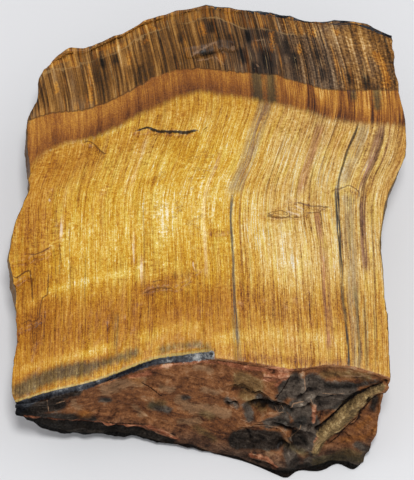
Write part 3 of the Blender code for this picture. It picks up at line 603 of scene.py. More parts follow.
CRUST_RUN = [(0.0, (6, 6, 8)), (0.4, (28, 29, 34)), (0.7, (76, 78, 82)), (1.0, (176, 176, 172))]
YELLOW = [(0.1, (140, 98, 14)), (0.9, (255, 226, 104))]
TAN_RUN = [(0.2, (104, 76, 52)), (0.8, (186, 150, 112))]
COAT_ROUGHNESS = 0.42
BUMP_DEPTH = 0.08
FINE_RELIEF = {"Ridge height": 0.07, "Grain height": 0.05, "Clear of ground": 0.3}

DIVISIONS = (300, 250, 80)
ROUNDING_PASSES = 24
MOST_TRIANGLES = 192000


def along_curve(points, share):
    """Points of the smooth curve through the given ones, at shares of its length from 0 to 1."""
    points = np.array(points, float)
    steps = np.linalg.norm(np.diff(points, axis=0), axis=1)
    knots = np.concatenate([[0], np.cumsum(steps)]) / steps.sum()
    slopes = np.gradient(points, knots, axis=0)
    piece = np.clip(np.searchsorted(knots, share, side="right") - 1, 0, len(steps) - 1)
    width = (knots[piece + 1] - knots[piece])[:, None]
    t = (share - knots[piece])[:, None] / width
    start, end = points[piece], points[piece + 1]
    leave, arrive = slopes[piece] * width, slopes[piece + 1] * width
    bend = start * (1 + 2 * t) * (1 - t) ** 2 + end * t * t * (3 - 2 * t)
    return bend + leave * t * (1 - t) ** 2 + arrive * t * t * (t - 1)


def patch(near, far, left, right, u, v):
    """The surface stretched between four edge curves, at u from left to right and v from near to far."""
    a, b = u[:, None], v[:, None]
    across = (1 - b) * along_curve(near, u) + b * along_curve(far, u)
    away = (1 - a) * along_curve(left, v) + a * along_curve(right, v)
    corners = (
        (1 - a) * (1 - b) * np.array(near[0]) + a * (1 - b) * np.array(near[-1])
        + (1 - a) * b * np.array(far[0]) + a * b * np.array(far[-1])
    )
    return across + away - corners


def plain_form(u, v, w):
    """Where a point of a unit cube's skin lies on the stone before its relief."""
    top = patch(NEAR_RIM, FAR_RIM, LEFT_RIM, RIGHT_RIM, u, v)
    top[:, 2] += CROWN * 16 * u * (1 - u) * v * (1 - v)
    base = patch(NEAR_FOOT, FAR_FOOT, LEFT_FOOT, RIGHT_FOOT, u, v)
    inset = np.minimum(np.minimum(u, 1 - u), np.minimum(v, 1 - v))
    base[:, 2] *= np.clip(1 - inset / UNDERCUT, 0, 1)
    form = base + (top - base) * w[:, None]
    swell = 4 * w * (1 - w)
    form[:, 0] += BELLY[0] * swell * (2 * u - 1)
    form[:, 1] += BELLY[1] * swell * (2 * v - 1)
    return form


def ramp(start, end, value):
    """0 at start and 1 at end, with soft ends."""
    t = np.clip((value - start) / (end - start), 0, 1)
    return t * t * (3 - 2 * t)


def from_path(path, flat):
    """Distance from a path, over zero on its left, and the share of the path's length passed."""
    path = np.array(path, float)
    runs = np.diff(path, axis=0)
    lengths = np.linalg.norm(runs, axis=1)
    passed = np.concatenate([[0], np.cumsum(lengths)])
    nearest = np.full(len(flat), np.inf)
    offset = np.zeros(len(flat))
    share = np.zeros(len(flat))
    for start, run, length, before in zip(path, runs, lengths, passed):
        t = np.clip((flat - start) @ run / length ** 2, 0, 1)
        gap = flat - start - t[:, None] * run
        distance = np.hypot(gap[:, 0], gap[:, 1])
        closer = distance < nearest
        side = np.where(run[0] * gap[:, 1] < run[1] * gap[:, 0], -1, 1)
        nearest = np.where(closer, distance, nearest)
        offset = np.where(closer, side * distance, offset)
        share = np.where(closer, (before + t * length) / passed[-1], share)
    return offset, share


def ledges(flat, marks, ragged):
    """Steps: the ground drops at each path and comes back up over its reach."""
    height = np.zeros(len(flat))
    for _, drop, reach, path in marks:
        offset, share = from_path(path, flat)
        offset += ragged
        ends = ramp(0, LEDGE_END, share) * ramp(1, 1 - LEDGE_END, share)
        height -= drop * ends * ramp(0, -LIP_WIDTH, offset) * np.clip(1 + offset / reach, 0, 1)
    return height


def strokes(flat, marks):
    """Rounded ridges and furrows along paths."""
    height = np.zeros(len(flat))
    for _, rise, width, path in marks:
        offset, _ = from_path(path, flat)
        height += rise * ramp(width, 0, np.abs(offset))
    return height


def scatter(cells, seed):
    """A fixed random number from 0 to 1 for each cell of whole-number coordinates."""
    key = cells @ np.array([73856093, 19349663, 83492791]) + seed * 15485863
    key = (key ^ (key >> 13)) & 0xFFFFFFFF
    key = (key * 1274126177) & 0xFFFFFFFF
    return ((key ^ (key >> 16)) & 0xFFFF) / 0xFFFF


def uneven(points, height, size, seed):
    """Smooth random ground between plus and minus a height, with one lump for each size."""
    scaled = points / np.array(size)
    cell = np.floor(scaled).astype(np.int64)
    blend = scaled - cell
    blend = blend * blend * (3 - 2 * blend)
    level = np.zeros(len(points))
    for corner in itertools.product((0, 1), repeat=3):
        weight = np.prod(np.where(corner, blend, 1 - blend), axis=1)
        level += weight * (2 * scatter(cell + corner, seed) - 1)
    return height * level


def chips(points, size, depth, seed):
    """Shell-like chips about a size apart: bowls that meet in sharp ridges."""
    scaled = points / size
    cell = np.floor(scaled).astype(np.int64)
    bowl = np.full(len(points), np.inf)
    for step in itertools.product((-1, 0, 1), repeat=3):
        near = cell + step
        middle = near + np.stack([scatter(near, seed + axis) for axis in range(3)], axis=1)
        away = ((scaled - middle) ** 2).sum(axis=1)
        bowl = np.minimum(bowl, away - CHIP_SPREAD * scatter(near, seed + 3))
    return depth * (bowl - CHIP_LEVEL)


def fibre_offset(x, y):
    """The label of the fibre through a point of the upper face: its place across the near end, in mm."""
    places = np.linspace(0, 1, GUIDE_STEPS)
    crossings, labels = [], []
    for guide in FIBRE_GUIDES:
        line = along_curve(guide, places)
        crossings.append(np.interp(y, line[:, 1], line[:, 0]))
        labels.append(guide[0][0])
    label = x - crossings[0] + labels[0]
    for left, right, start, end in zip(crossings, crossings[1:], labels, labels[1:]):
        label = np.where(x > left, start + (x - left) * (end - start) / (right - left), label)
    return np.where(x > crossings[-1], x - crossings[-1] + labels[-1], label)


def plates(points):
    """Shallow flakes, long along the fibres, whose ends and sides are small steps."""
    along = points.copy()
    along[:, 0] = fibre_offset(points[:, 0], points[:, 1])
    height = np.zeros(len(points))
    for drop, size, seed in PLATES:
        ground = uneven(along, 1, size, seed) + uneven(along, 0.4, [side / 3 for side in size], seed + 1)
        height -= drop * ramp(*PLATE_EDGE, ground)
    return height


def top_relief(points):
    seen_above = points[:, :2]
    ragged = sum(uneven(points, *size) for size in RAGGED_LIPS)
    beyond_brow = np.maximum(from_path(BROW_LINE, seen_above)[0], 0)
    crust_offset, crust_share = from_path(CRUST_LINE, seen_above)
    over_crust = ramp(*CRUST_EDGE, crust_offset + ragged / 2) * (crust_share < 1)
    dark = ramp(*BAND_EDGE, from_path(ORANGE_LINE, seen_above)[0])
    height = ledges(seen_above, TOP_LEDGES, ragged) + strokes(seen_above, TOP_STROKES)
    height += (1 - dark) * plates(points)
    height += uneven(points, *FIBRE_RIDGES) + uneven(points, *WAVES) + dark * chips(points, *BAND_CHIPS)
    return height - BROW_SLOPE * beyond_brow - CRUST_STEP * over_crust


def end_relief(points):
    seen_front = points[:, [0, 2]]
    ragged = sum(uneven(points, *size) for size in RAGGED_LIPS)
    height = ledges(seen_front, END_LEDGES, ragged) + strokes(seen_front + ragged[:, None], END_STROKES)
    return height + chips(points, *END_CHIPS) + chips(points, *SMALL_END_CHIPS)


def side_relief(points):
    return chips(points, *SIDE_CHIPS) + chips(points, *SMALL_SIDE_CHIPS)


def facings(normals):
    """How much each point belongs to the top, the near end, the far wall and the two sides."""
    up = ramp(*FACING_UP, normals[:, 2])
    near = ramp(*FACING_OUT, -normals[:, 1]) * (1 - up)
    far = ramp(*FACING_OUT, normals[:, 1]) * (1 - up)
    return up, near, far, (1 - up) * (1 - near) * (1 - far)


def relief(points, normals):
    """How far each point moves out along its normal, in mm."""
    reliefs = [top_relief, end_relief, lambda there: chips(there, *FAR_CHIPS), side_relief]
    height = np.zeros(len(points))
    for place, (share, shape) in enumerate(zip(facings(normals), reliefs)):
        if place > 0:
            share = share * ramp(0, BASE_FLAT, points[:, 2])
        there = share > 0
        height[there] += share[there] * shape(points[there])
    return height


def underside(points):
    """The outer part of the underside has shallow hollows, and none of it is under the ground."""
    middle = np.hypot(points[:, 0], points[:, 1])
    hollow = ramp(*BASE_LEVEL, middle) * uneven(points, *BASE_HOLLOWS)
    hollow += ramp(*BASE_CONTACT, middle) * uneven(points, *BASE_GRAIN)
    low = points[:, 2] < BASE_HOLLOWS[0]
    points[low, 2] = np.maximum(points[low, 2], hollow[low])
    points[:, 2] = np.maximum(points[:, 2], 0)


def divided_cube():
    """A unit cube whose faces are divided into fine squares."""
    cube = bmesh.new()
    bmesh.ops.create_cube(cube, size=1)
    bmesh.ops.translate(cube, verts=cube.verts, vec=(0.5, 0.5, 0.5))
    for axis, steps in enumerate(DIVISIONS):
        edges = [e for e in cube.edges if abs(e.verts[0].co[axis] - e.verts[1].co[axis]) > 0.5]
        bmesh.ops.subdivide_edges(cube, edges=edges, cuts=steps - 1, use_grid_fill=True)
    return cube


def read(mesh, name):
    values = np.empty(3 * len(mesh.vertices), np.float32)
    mesh.vertices.foreach_get(name, values)
    return values.reshape(-1, 3).astype(float)


def write_points(mesh, points):
    mesh.vertices.foreach_set("co", points.astype(np.float32).ravel())
    mesh.update()


def new_object(name, mesh):
    item = bpy.data.objects.new(name, mesh)
    bpy.context.scene.collection.objects.link(item)
    return item


def applied(item):
    """The item's mesh with its modifiers applied, in an object without modifiers."""
    graph = bpy.context.evaluated_depsgraph_get()
    mesh = bpy.data.meshes.new_from_object(item.evaluated_get(graph), depsgraph=graph)
    old = item.data
    item.modifiers.clear()
    item.data = mesh
    bpy.data.meshes.remove(old)
    return item


def stone_surface():
    """The stone's surface with its relief, before its finest grain."""
    cube = divided_cube()
    mesh = bpy.data.meshes.new("stone_surface")
    cube.to_mesh(mesh)
    cube.free()
    write_points(mesh, plain_form(*read(mesh, "co").T))
    stone = new_object("stone_surface", mesh)
    rounding = stone.modifiers.new("rounding", "SMOOTH")
    rounding.factor = 0.5
    rounding.iterations = ROUNDING_PASSES
    applied(stone)
    points, normals = read(stone.data, "co"), read(stone.data, "normal")
    points += normals * relief(points, normals)[:, None]
    underside(points)
    write_points(stone.data, points * MM)
    return stone


def store(mesh, name, *fields):
    """Three fields of numbers, one for each point, kept on the mesh as one vector attribute."""
    values = np.zeros((len(mesh.vertices), 3), np.float32)
    for place, field in enumerate(fields):
        values[:, place] = field
    attribute = mesh.attributes.get(name) or mesh.attributes.new(name, "FLOAT_VECTOR", "POINT")
    attribute.data.foreach_set("vector", values.ravel())


def zone(flat, marks):
    """How far inside the nearest of these broad marks a point is, in mm; under zero outside all."""
    depth = np.full(len(flat), -FAR_OUTSIDE)
    for width, path in marks:
        depth = np.maximum(depth, width - np.abs(from_path(path, flat)[0]))
    return depth


def painted_sheen_and_shade(flat):
    """How much brighter or darker the ground of the upper face is painted: sheen of the fibres, and shade
    beside the ledges.
    """
    light = np.zeros(len(flat))
    for strength, width, path in SHEEN_AND_SHADE:
        light += strength * ramp(width, 0, np.abs(from_path(path, flat)[0]))
    return light


def splits(flat, marks):
    """Signed distance from the nearest thin split, and how wide it is there."""
    nearest = np.full(len(flat), SPLIT_REACH[1])
    opening = np.zeros(len(flat))
    for width, path in marks:
        offset, share = from_path(path, flat)
        closer = np.abs(offset) < np.abs(nearest)
        ends = ramp(0, SPLIT_END, share) * ramp(1, 1 - SPLIT_END, share)
        nearest = np.where(closer, offset, nearest)
        opening = np.where(closer, width * ends, opening)
    return nearest, opening * ramp(SPLIT_REACH[1], SPLIT_REACH[0], np.abs(nearest))


def thin_marks(on_end, seen_above, leaning_back, top_marks, end_marks):
    """The splits, drawn as painted shade, or the pale edges, mostly painted highlights, of the upper face,
    and of the jasper end.
    """
    above, front = splits(seen_above, top_marks), splits(leaning_back, end_marks)
    return [np.where(on_end, b, a) for a, b in zip(above, front)]


def standing_out(mesh, points, normals):
    """How far each point stands out of the ground around it, in mm."""
    edges = np.empty(2 * len(mesh.edges), np.int32)
    mesh.edges.foreach_get("vertices", edges)
    start, end = edges.reshape(-1, 2).T
    share = 1 / np.bincount(edges, minlength=len(points))
    level = points
    for _ in range(SURROUNDINGS):
        columns = [
            np.bincount(start, column[end], len(points)) + np.bincount(end, column[start], len(points))
            for column in level.T
        ]
        level = (np.array(columns) * share).T
    return ((points - level) * normals).sum(axis=1)


def mark_fibres(mesh):
    """On the upper face the fibres run on over its small steps, so there they have one height."""
    x, y, z = (read(mesh, "co") / MM).T
    rim = np.array(NEAR_RIM)
    on_face = ramp(*FACE_TILT, read(mesh, "normal")[:, 2]) * (y > np.interp(x, rim[:, 0], rim[:, 1]))
    store(mesh, "fibre", fibre_offset(x, y), y, z + (FACE_LEVEL - z) * on_face)


def mark_surface(mesh):
    """Where each point lies among the bands, zones and splits of the stone."""
    points, normals = read(mesh, "co") / MM, read(mesh, "normal")
    x, y, z = points.T
    rim = np.array(NEAR_RIM)
    depth = np.maximum(np.interp(x, rim[:, 0], rim[:, 2]) - RIM_ROUNDING - z, 0)
    leaning = np.stack([x, y + BAND_LEAN * depth], axis=1)
    seen_above = points[:, :2]
    leaning_back = np.stack([x, LEAN_UP[0] * y + LEAN_UP[1] * z], axis=1)
    low_down = ramp(*WALL_HEIGHTS, z)
    side = np.maximum(facings(normals)[3], low_down)
    in_vein = from_path(VEIN_FOOT, leaning)[0] - 2 * BAND_LEAN * depth
    above_jasper = from_path(CRUST_FOOT, leaning_back)[0]
    crust = np.minimum.reduce([above_jasper, 3 * (CRUST_LAP - in_vein), 2 * (CRUST_END - x)])
    past_far_rim = from_path(np.array(FAR_RIM)[:, :2], seen_above)[0] - np.interp(x, *zip(*FAR_CRUST_EDGE))
    on_far_wall = np.maximum(2 * past_far_rim, np.minimum(2 * low_down - 1, past_far_rim + 3))
    crust = np.maximum(crust, np.minimum(on_far_wall, 5 * (normals[:, 1] - FACING_AWAY)))
    store(mesh, "bands", from_path(GOLD_LINE, leaning)[0], from_path(ORANGE_LINE, leaning)[0], in_vein)
    # The first number is the painted sheen and shade of the upper face.
    store(mesh, "tone", painted_sheen_and_shade(seen_above), zone(seen_above, OLIVE_SHADE), from_path(BROW_LINE, seen_above)[0])
    # The chamfer under its brow joins the near-black ground: its dark mineral, and painted shade on its
    # undercut.
    brow_offset, brow_share = from_path(CHAMFER_BROW, points[:, [0, 2]])
    chamfer = np.where(brow_share < 1, -brow_offset, -FAR_OUTSIDE)
    inky, greyish, greenish = (zone(leaning_back, marks) for marks in (INK, GREY, OLIVE))
    store(mesh, "zones_dark", np.maximum(inky, chamfer), greyish, greenish)
    store(mesh, "zones_light", *(zone(leaning_back, marks) for marks in (SALMON, GOLDEN_STRIP, RED)))
    store(mesh, "walls", crust, side, normals[:, 2])
    tan = zone(leaning_back, TAN)
    store(mesh, "spots", zone(seen_above, RUST_SPOTS), zone(seen_above, BLACK_SPOTS), tan)
    seen = in_vein < 0, seen_above, leaning_back
    # The pale edges, mostly painted highlights, and how far below the line of the painted black shadow at
    # the foot a point lies.
    shadow_fringe = np.where(normals[:, 1] < FACING_AWAY, -from_path(SHADOW_FRINGE_LINE, leaning_back)[0], -FAR_OUTSIDE)
    store(mesh, "edges", *thin_marks(*seen, TOP_EDGES, END_HIGHLIGHTS), shadow_fringe)
    split = thin_marks(*seen, TOP_SPLITS, END_SPLITS)
    store(mesh, "form", *split, standing_out(mesh, points, normals))


class Wires:
    """One node tree, and the ways of adding to it."""

    def __init__(self, tree):
        self.tree = tree

    def node(self, kind, settings=None, inputs=None, output=0, stops=()):
        """A new node: its settings first, then its inputs, as plain values or links."""
        node = self.tree.nodes.new(kind)
        for name, value in (settings or {}).items():
            setattr(node, name, value)
        if stops:
            elements = node.color_ramp.elements
            elements[0].position, elements[0].color = stops[0]
            elements[1].position, elements[1].color = stops[-1]
            for position, colour in stops[1:-1]:
                elements.new(position).color = colour
        for key, value in (inputs or {}).items():
            if isinstance(value, Field):
                self.tree.links.new(value.socket, node.inputs[key])
            else:
                node.inputs[key].default_value = value
        return Field(self, node.outputs[output] if node.outputs else None)

    def maths(self, operation, *values):
        return self.node("ShaderNodeMath", {"operation": operation}, dict(enumerate(values)))

    def vector(self, x, y, z):
        return self.node("ShaderNodeCombineXYZ", None, {0: x, 1: y, 2: z})

    def parts(self, vector):
        split = self.node("ShaderNodeSeparateXYZ", None, {0: vector}).socket.node
        return [Field(self, socket) for socket in split.outputs]

    def noise(self, vector, detail=2.0, distortion=0.0):
        """Smooth noise about zero, mostly within plus and minus one."""
        inputs = {"Vector": vector, "Scale": 1.0, "Detail": detail, "Distortion": distortion}
        return (self.node("ShaderNodeTexNoise", None, inputs) - 0.5) * 3.6

    def mix(self, factor, first, second, blend="MIX"):
        settings = {"data_type": "RGBA", "blend_type": blend, "clamp_factor": True}
        return self.node("ShaderNodeMix", settings, {0: factor, 6: first, 7: second}, 2)

    def shade(self, level, stops):
        """A colour from a run of them: stops are a position and a red, green and blue."""
        run = [(position, srgb(*colour)) for position, colour in stops]
        return self.node("ShaderNodeValToRGB", None, {0: level}, 0, run)


class Field:
    """A value in a node tree, which Python's arithmetic carries on in new nodes."""

    def __init__(self, wires, socket):
        self.wires = wires
        self.socket = socket

    def __add__(self, other):
        return self.wires.maths("ADD", self, other)

    def __sub__(self, other):
        return self.wires.maths("SUBTRACT", self, other)

    def __rsub__(self, other):
        return self.wires.maths("SUBTRACT", other, self)

    def __mul__(self, other):
        return self.wires.maths("MULTIPLY", self, other)

    def __truediv__(self, other):
        return self.wires.maths("DIVIDE", self, other)

    def __abs__(self):
        return self.wires.maths("ABSOLUTE", self)

    __radd__ = __add__
    __rmul__ = __mul__

    def most(self, other):
        return self.wires.maths("MAXIMUM", self, other)

    def step(self, start, end):
        """0 at start and 1 at end, with soft ends."""
        settings = {"interpolation_type": "SMOOTHSTEP"}
        return self.wires.node("ShaderNodeMapRange", settings, {0: self, 1: start, 2: end})


def srgb(red, green, blue):
    """A colour of 0 to 255 values, as Blender's linear ones."""
    shares = [value / 255 for value in (red, green, blue)]
    return [s / 12.92 if s <= 0.04045 else ((s + 0.055) / 1.055) ** 2.4 for s in shares] + [1.0]


def fine_relief(material):
    """Ridges along the fibres and a fine grain, as a Geometry Nodes tree with named heights."""
    tree = bpy.data.node_groups.new("fine_relief", "GeometryNodeTree")
    tree.interface.new_socket("Stone", in_out="INPUT", socket_type="NodeSocketGeometry")
    for name in FINE_RELIEF:
        tree.interface.new_socket(name, in_out="INPUT", socket_type="NodeSocketFloat")
    tree.interface.new_socket("Stone", in_out="OUTPUT", socket_type="NodeSocketGeometry")
    wires = Wires(tree)
    given = wires.node("NodeGroupInput").socket.node
    ridge_height, grain_height, clear_of_ground = (Field(wires, given.outputs[name]) for name in FINE_RELIEF)
    fibre = wires.node("GeometryNodeInputNamedAttribute", {"data_type": "FLOAT_VECTOR"}, {"Name": "fibre"})
    s, t, w = wires.parts(fibre)
    ridges = wires.noise(wires.vector(s / 1.1, t / 14, w / 1.1), 3.0)
    grain = wires.noise(wires.vector(s / 0.8, t / 1.1, w / 0.8), 3.0)
    height = ridges * ridge_height + grain * grain_height
    height = height * w.step(clear_of_ground, clear_of_ground * 4) * MM
    normal = wires.node("GeometryNodeInputNormal")
    offset = wires.node("ShaderNodeVectorMath", {"operation": "SCALE"}, {0: normal, "Scale": height})
    stone = Field(wires, given.outputs["Stone"])
    stone = wires.node("GeometryNodeSetPosition", None, {"Geometry": stone, "Offset": offset})
    stone = wires.node("GeometryNodeRealizeInstances", None, {"Geometry": stone})
    stone = wires.node("GeometryNodeSetMaterial", None, {"Geometry": stone, "Material": material})
    wires.node("NodeGroupOutput", None, {"Stone": stone})
    return tree


def stone_material():
    """Golden fibres, the orange and dark bands, the jasper end and the crust, in one material."""
    material = bpy.data.materials.new("tigers_eye_stone")
    material.use_nodes = True
    tree = material.node_tree
    shader = tree.nodes["Principled BSDF"]
    shader.inputs["Specular IOR Level"].default_value = 0.0
    shader.inputs["Coat Roughness"].default_value = COAT_ROUGHNESS
    wires = Wires(tree)

    def attribute(name):
        socket = wires.node("ShaderNodeAttribute", {"attribute_name": name}, None, 1)
        return wires.parts(socket)

    s, t, w = attribute("fibre")
    past_gold, past_orange, in_vein = attribute("bands")
    sheen_and_shade, olive_shade, past_brow = attribute("tone")
    ink, grey, olive = attribute("zones_dark")
    salmon, strip, red = attribute("zones_light")
    crust, side, facing = attribute("walls")
    rust_spot, black_spot, tan = attribute("spots")
    highlight_offset, highlight_width, shadow_fringe = attribute("edges")
    split_offset, split_width, stands_out = attribute("form")

    def fibres(across, along, detail=2.0, distortion=0.0):
        return wires.noise(wires.vector(s / across, t / along, w / across), detail, distortion)

    def lumps(size, detail=2.0, distortion=0.0):
        return wires.noise(wires.vector(s / size, t / size, w / size), detail, distortion)

    # Noises and places that the parts below share
    threads = fibres(0.2, 3.6, 3.0)
    flecks = fibres(0.3, 0.9)
    lines = fibres(0.22, 15)
    strands = fibres(0.7, 11)
    bundles = fibres(2.3, 40)
    crinkles = fibres(1.1, 0.45)
    patches = lumps(7)
    blots = lumps(2.4, 3.0, 0.6)
    specks = lumps(0.5, 3.0)
    grains = lumps(0.22, 2.0)
    right = s.step(2, 12)
    matrix = in_vein.step(0.2, -0.2)

    # The golden face: gold and straw, crinkled and crazed in places, amber at its edges
    crinkled = patches.step(-0.1, 0.7) * (1 - s.step(12, 22)) * t.step(-24, -12)
    level = 0.52 + threads * 0.2 + flecks * 0.12 + strands * 0.12 + bundles * 0.06 + grains * 0.2
    # The painted sheen of the upper face brightens its bands here, and its painted shade darkens the ground
    # beside the ledges.
    level = level + crinkles * (crinkled * 0.18 + 0.05) + patches * 0.05 + sheen_and_shade * 0.28
    # The last term is painted shade where the face lies lower than the ground around it, at its ledges and
    # flakes.
    level = level + lines * (right * 0.14 + 0.18) - stands_out.step(-0.03, -0.15) * 0.12
    gold = wires.shade(level, GOLD)
    straw = wires.shade(level, STRAW)
    straws = (s + bundles * 4).step(1, 20) * (0.7 - (0 - t).step(12, 22) * 0.4)
    straws = straws + past_gold.step(-14, -6) * 0.12
    tints = fibres(0.45, 9)
    colour = wires.mix(straws + tints.step(0.1, 0.8) * 0.3 - tints.step(-0.1, -0.8) * 0.3, gold, straw)
    yellowed = (fibres(0.8, 6) + patches * 0.4).step(0.0, 0.7) * 0.42
    colour = wires.mix(yellowed, colour, wires.shade(level, YELLOW))
    colour = wires.mix(lines.step(0.3, 0.9) * (right * 0.5 + 0.1), colour, srgb(122, 80, 50))
    crazed = s.step(-15, -9) * s.step(5, 0) * t.step(-9, -5) * t.step(14, 10)
    craze = abs(crinkles + specks * 0.4).step(0.3, 0.05) * blots.step(0.1, 0.5) * (crazed * 0.55 + 0.04)
    colour = wires.mix(craze, colour, srgb(140, 82, 30))
    amber = (0 - t).step(10, 24) * 0.7 + s.step(-22, -36) * 0.5 + past_gold.step(-12, -4) * 0.5
    amber = amber + s.step(33, 36) * 0.8
    amber = (amber + strands * 0.3 + patches * 0.4 - sheen_and_shade * 0.5).step(0.1, 1.1) * (0.75 - right * 0.25)
    colour = wires.mix(amber, colour, wires.shade(level, AMBER))

    # Veins along the fibres, one mix for each colour; the pale mix is painted glints of light
    sideways = s + fibres(3, 9) * 0.16 + threads * 0.1
    breaks = fibres(0.5, 3.5) + threads * 0.7
    hairs = (fibres(0.16, 7) + breaks * 0.3 + 0.4).step(-0.3, 0.5)
    vein_light = level * 1.9 + 0.05
    broken = (breaks + 0.6).step(-0.4, 0.7) * 0.8 + 0.2
    for tint, courses in VEINS:
        cover = None
        for _, (x, y), width, start, end, strength in courses:
            label = float(fibre_offset(np.array([x]), np.array([y]))[0])
            body = abs(sideways - label).step(width, width * 0.35)
            run = t.step(start, start + VEIN_TIP) * t.step(end, end - VEIN_TIP)
            vein = body * run * (hairs if width > SOLID_VEIN else broken) * strength
            cover = vein if cover is None else cover.most(vein)
        tinted = {0: srgb(*tint)[:3], "Scale": vein_light}
        tinted = wires.node("ShaderNodeVectorMath", {"operation": "SCALE"}, tinted)
        colour = wires.mix(cover, colour, tinted)

    # The olive foot of the vein, and the pale line along it
    olive_edge = (olive_shade + strands * 0.4 + blots * 0.4 + threads * 0.3).step(-0.9, 0.9)
    colour = wires.mix(olive_edge * 0.85, colour, wires.shade(level - 0.02 + blots * 0.12, OLIVE_RUN))
    selvage = (in_vein + strands * 0.14 + threads * 0.1).step(0.6, 0.25) * (0 - past_gold).step(30, 38)
    selvage = selvage * s.step(2, -2) * ((breaks + 0.7).step(-0.4, 0.6) * 0.6 + 0.15)
    colour = wires.mix(selvage, colour, wires.shade(level + 0.2, OLIVE_RUN))
    colour = wires.mix(selvage * 0.6, colour, srgb(236, 206, 120))

    # The orange band
    dyed = black_spot + strands * 0.4 + specks * 0.3
    orange_level = 0.46 + threads * 0.1 + bundles * 0.1 + grains * 0.12 + patches * 0.06
    orange_level = orange_level + (lines + strands) * (s.step(4, 18) * 0.2 + 0.09)
    orange_level = orange_level + past_gold.step(0.4, 5.0) * 0.16 - 0.08 + s.step(24, 32) * 0.05
    orange = wires.shade(orange_level, ORANGE)
    reddened = (fibres(1.0, 9.0) + patches * 0.4).step(0.2, 0.7) * (s.step(8, 18) * 0.6 + 0.2)
    orange = wires.mix(reddened, orange, wires.shade(orange_level, RUST))
    orange = wires.mix(dyed.step(-0.4, 0.7) * 0.85, orange, wires.shade(orange_level - 0.12, OLIVE_RUN))
    colour = wires.mix((past_gold + strands * 0.5 + threads * 0.2).step(-1.0, 1.0), colour, orange)

    # The dark band, granular at the right, with its brow and its seam
    granular = s.step(8, 18)
    brow_place = past_brow + blots * 0.6 + s.step(-1, 4) * 2.2
    beyond = brow_place.step(-0.3, 0.7) * s.step(24, 20)
    stripes = fibres(0.42, 34)
    dark_level = 0.48 + threads * 0.07 + strands * 0.12 + stripes * 0.26 + lines * 0.2 + grains * 0.07
    dark_level = dark_level + specks * (granular * 0.2 + 0.04) + sheen_and_shade * 0.3 + patches * 0.06
    dark_level = dark_level + abs(s - 2).step(10, 26) * 0.07
    dark_level = dark_level - dyed.step(-0.5, 1.2) * 0.34 + beyond * 0.04
    dark = wires.shade(dark_level, DARK)
    middle = s.step(-9, 5) * 0.6 - s.step(20, 32) * 0.5 - beyond * 0.3
    olive_band = (middle + bundles * 0.5 + patches * 0.3).step(0.0, 0.8) * 0.7
    dark = wires.mix(olive_band, dark, wires.shade(dark_level - 0.04, LILAC_GREY))
    rust = (fibres(0.6, 9.0) + patches * 0.5 + beyond * 0.5).step(0.3, 0.9) * 0.65
    rust = rust.most((rust_spot + strands * 0.3 + specks * 0.5).step(-0.2, 0.5) * 0.85)
    dark = wires.mix(rust, dark, wires.shade(dark_level + 0.06, RUST))
    pale = (fibres(0.22, 9.0) + blots * 0.3).step(0.6, 0.95) * 0.45
    pale = pale.most((specks + blots * 0.4).step(0.7, 1.0) * granular * 0.7)
    dark = wires.mix(pale, dark, srgb(200, 166, 114))
    into_dark = (past_orange + strands * 0.25 + specks * 0.15).step(-0.2, 0.3)
    colour = wires.mix(into_dark, colour, dark)
    brow = abs(brow_place + specks * 0.3).step(0.3, 0.06) * (patches + 0.4).step(-0.2, 0.5) * s.step(22, 18)
    colour = wires.mix(brow * into_dark * 0.35, colour, srgb(196, 156, 100))
    seam = abs(past_orange + strands * 0.25).step(0.3, 0.05) * (patches + 0.4).step(-0.2, 0.5)
    colour = wires.mix(seam * 0.6, colour, srgb(44, 28, 18))

    # The walls and the underside: weathered colour darkened as painted shade, darkest on the right wall
    weathered_and_shaded = (side + blots * 0.3).step(0.3, 0.8)
    # The right wall is painted darker still, as shade.
    wall_level = 0.45 + strands * 0.2 + specks * 0.1 - s.step(27, 33) * 0.3
    colour = wires.mix(weathered_and_shaded * 0.75, colour, wires.shade(wall_level, WEATHERED_AND_SHADED))
    under = facing.step(0.0, -0.5)
    colour = wires.mix(under * 0.7, colour, wires.shade(0.5 + strands * 0.25 + blots * 0.2, WEATHERED_AND_SHADED))

    # The jasper end and the dark crust
    slanted = wires.vector(s / 3.2, t / 1.4, (w + s * 0.35) / 1.1)
    streaks = wires.noise(slanted, 3.0, 0.8)
    mottles = lumps(4.0, 3.0, 0.4)
    stone_level = 0.485 + mottles * 0.16 + streaks * 0.18 + blots * 0.14 + specks * 0.1 + grains * 0.12
    # Painted highlight where the surface stands out of its surroundings, painted shade where it lies below
    # them.
    stone_level = stone_level + stands_out.step(0.0, 0.3) * 0.14 - stands_out.step(0.0, -0.3) * 0.1
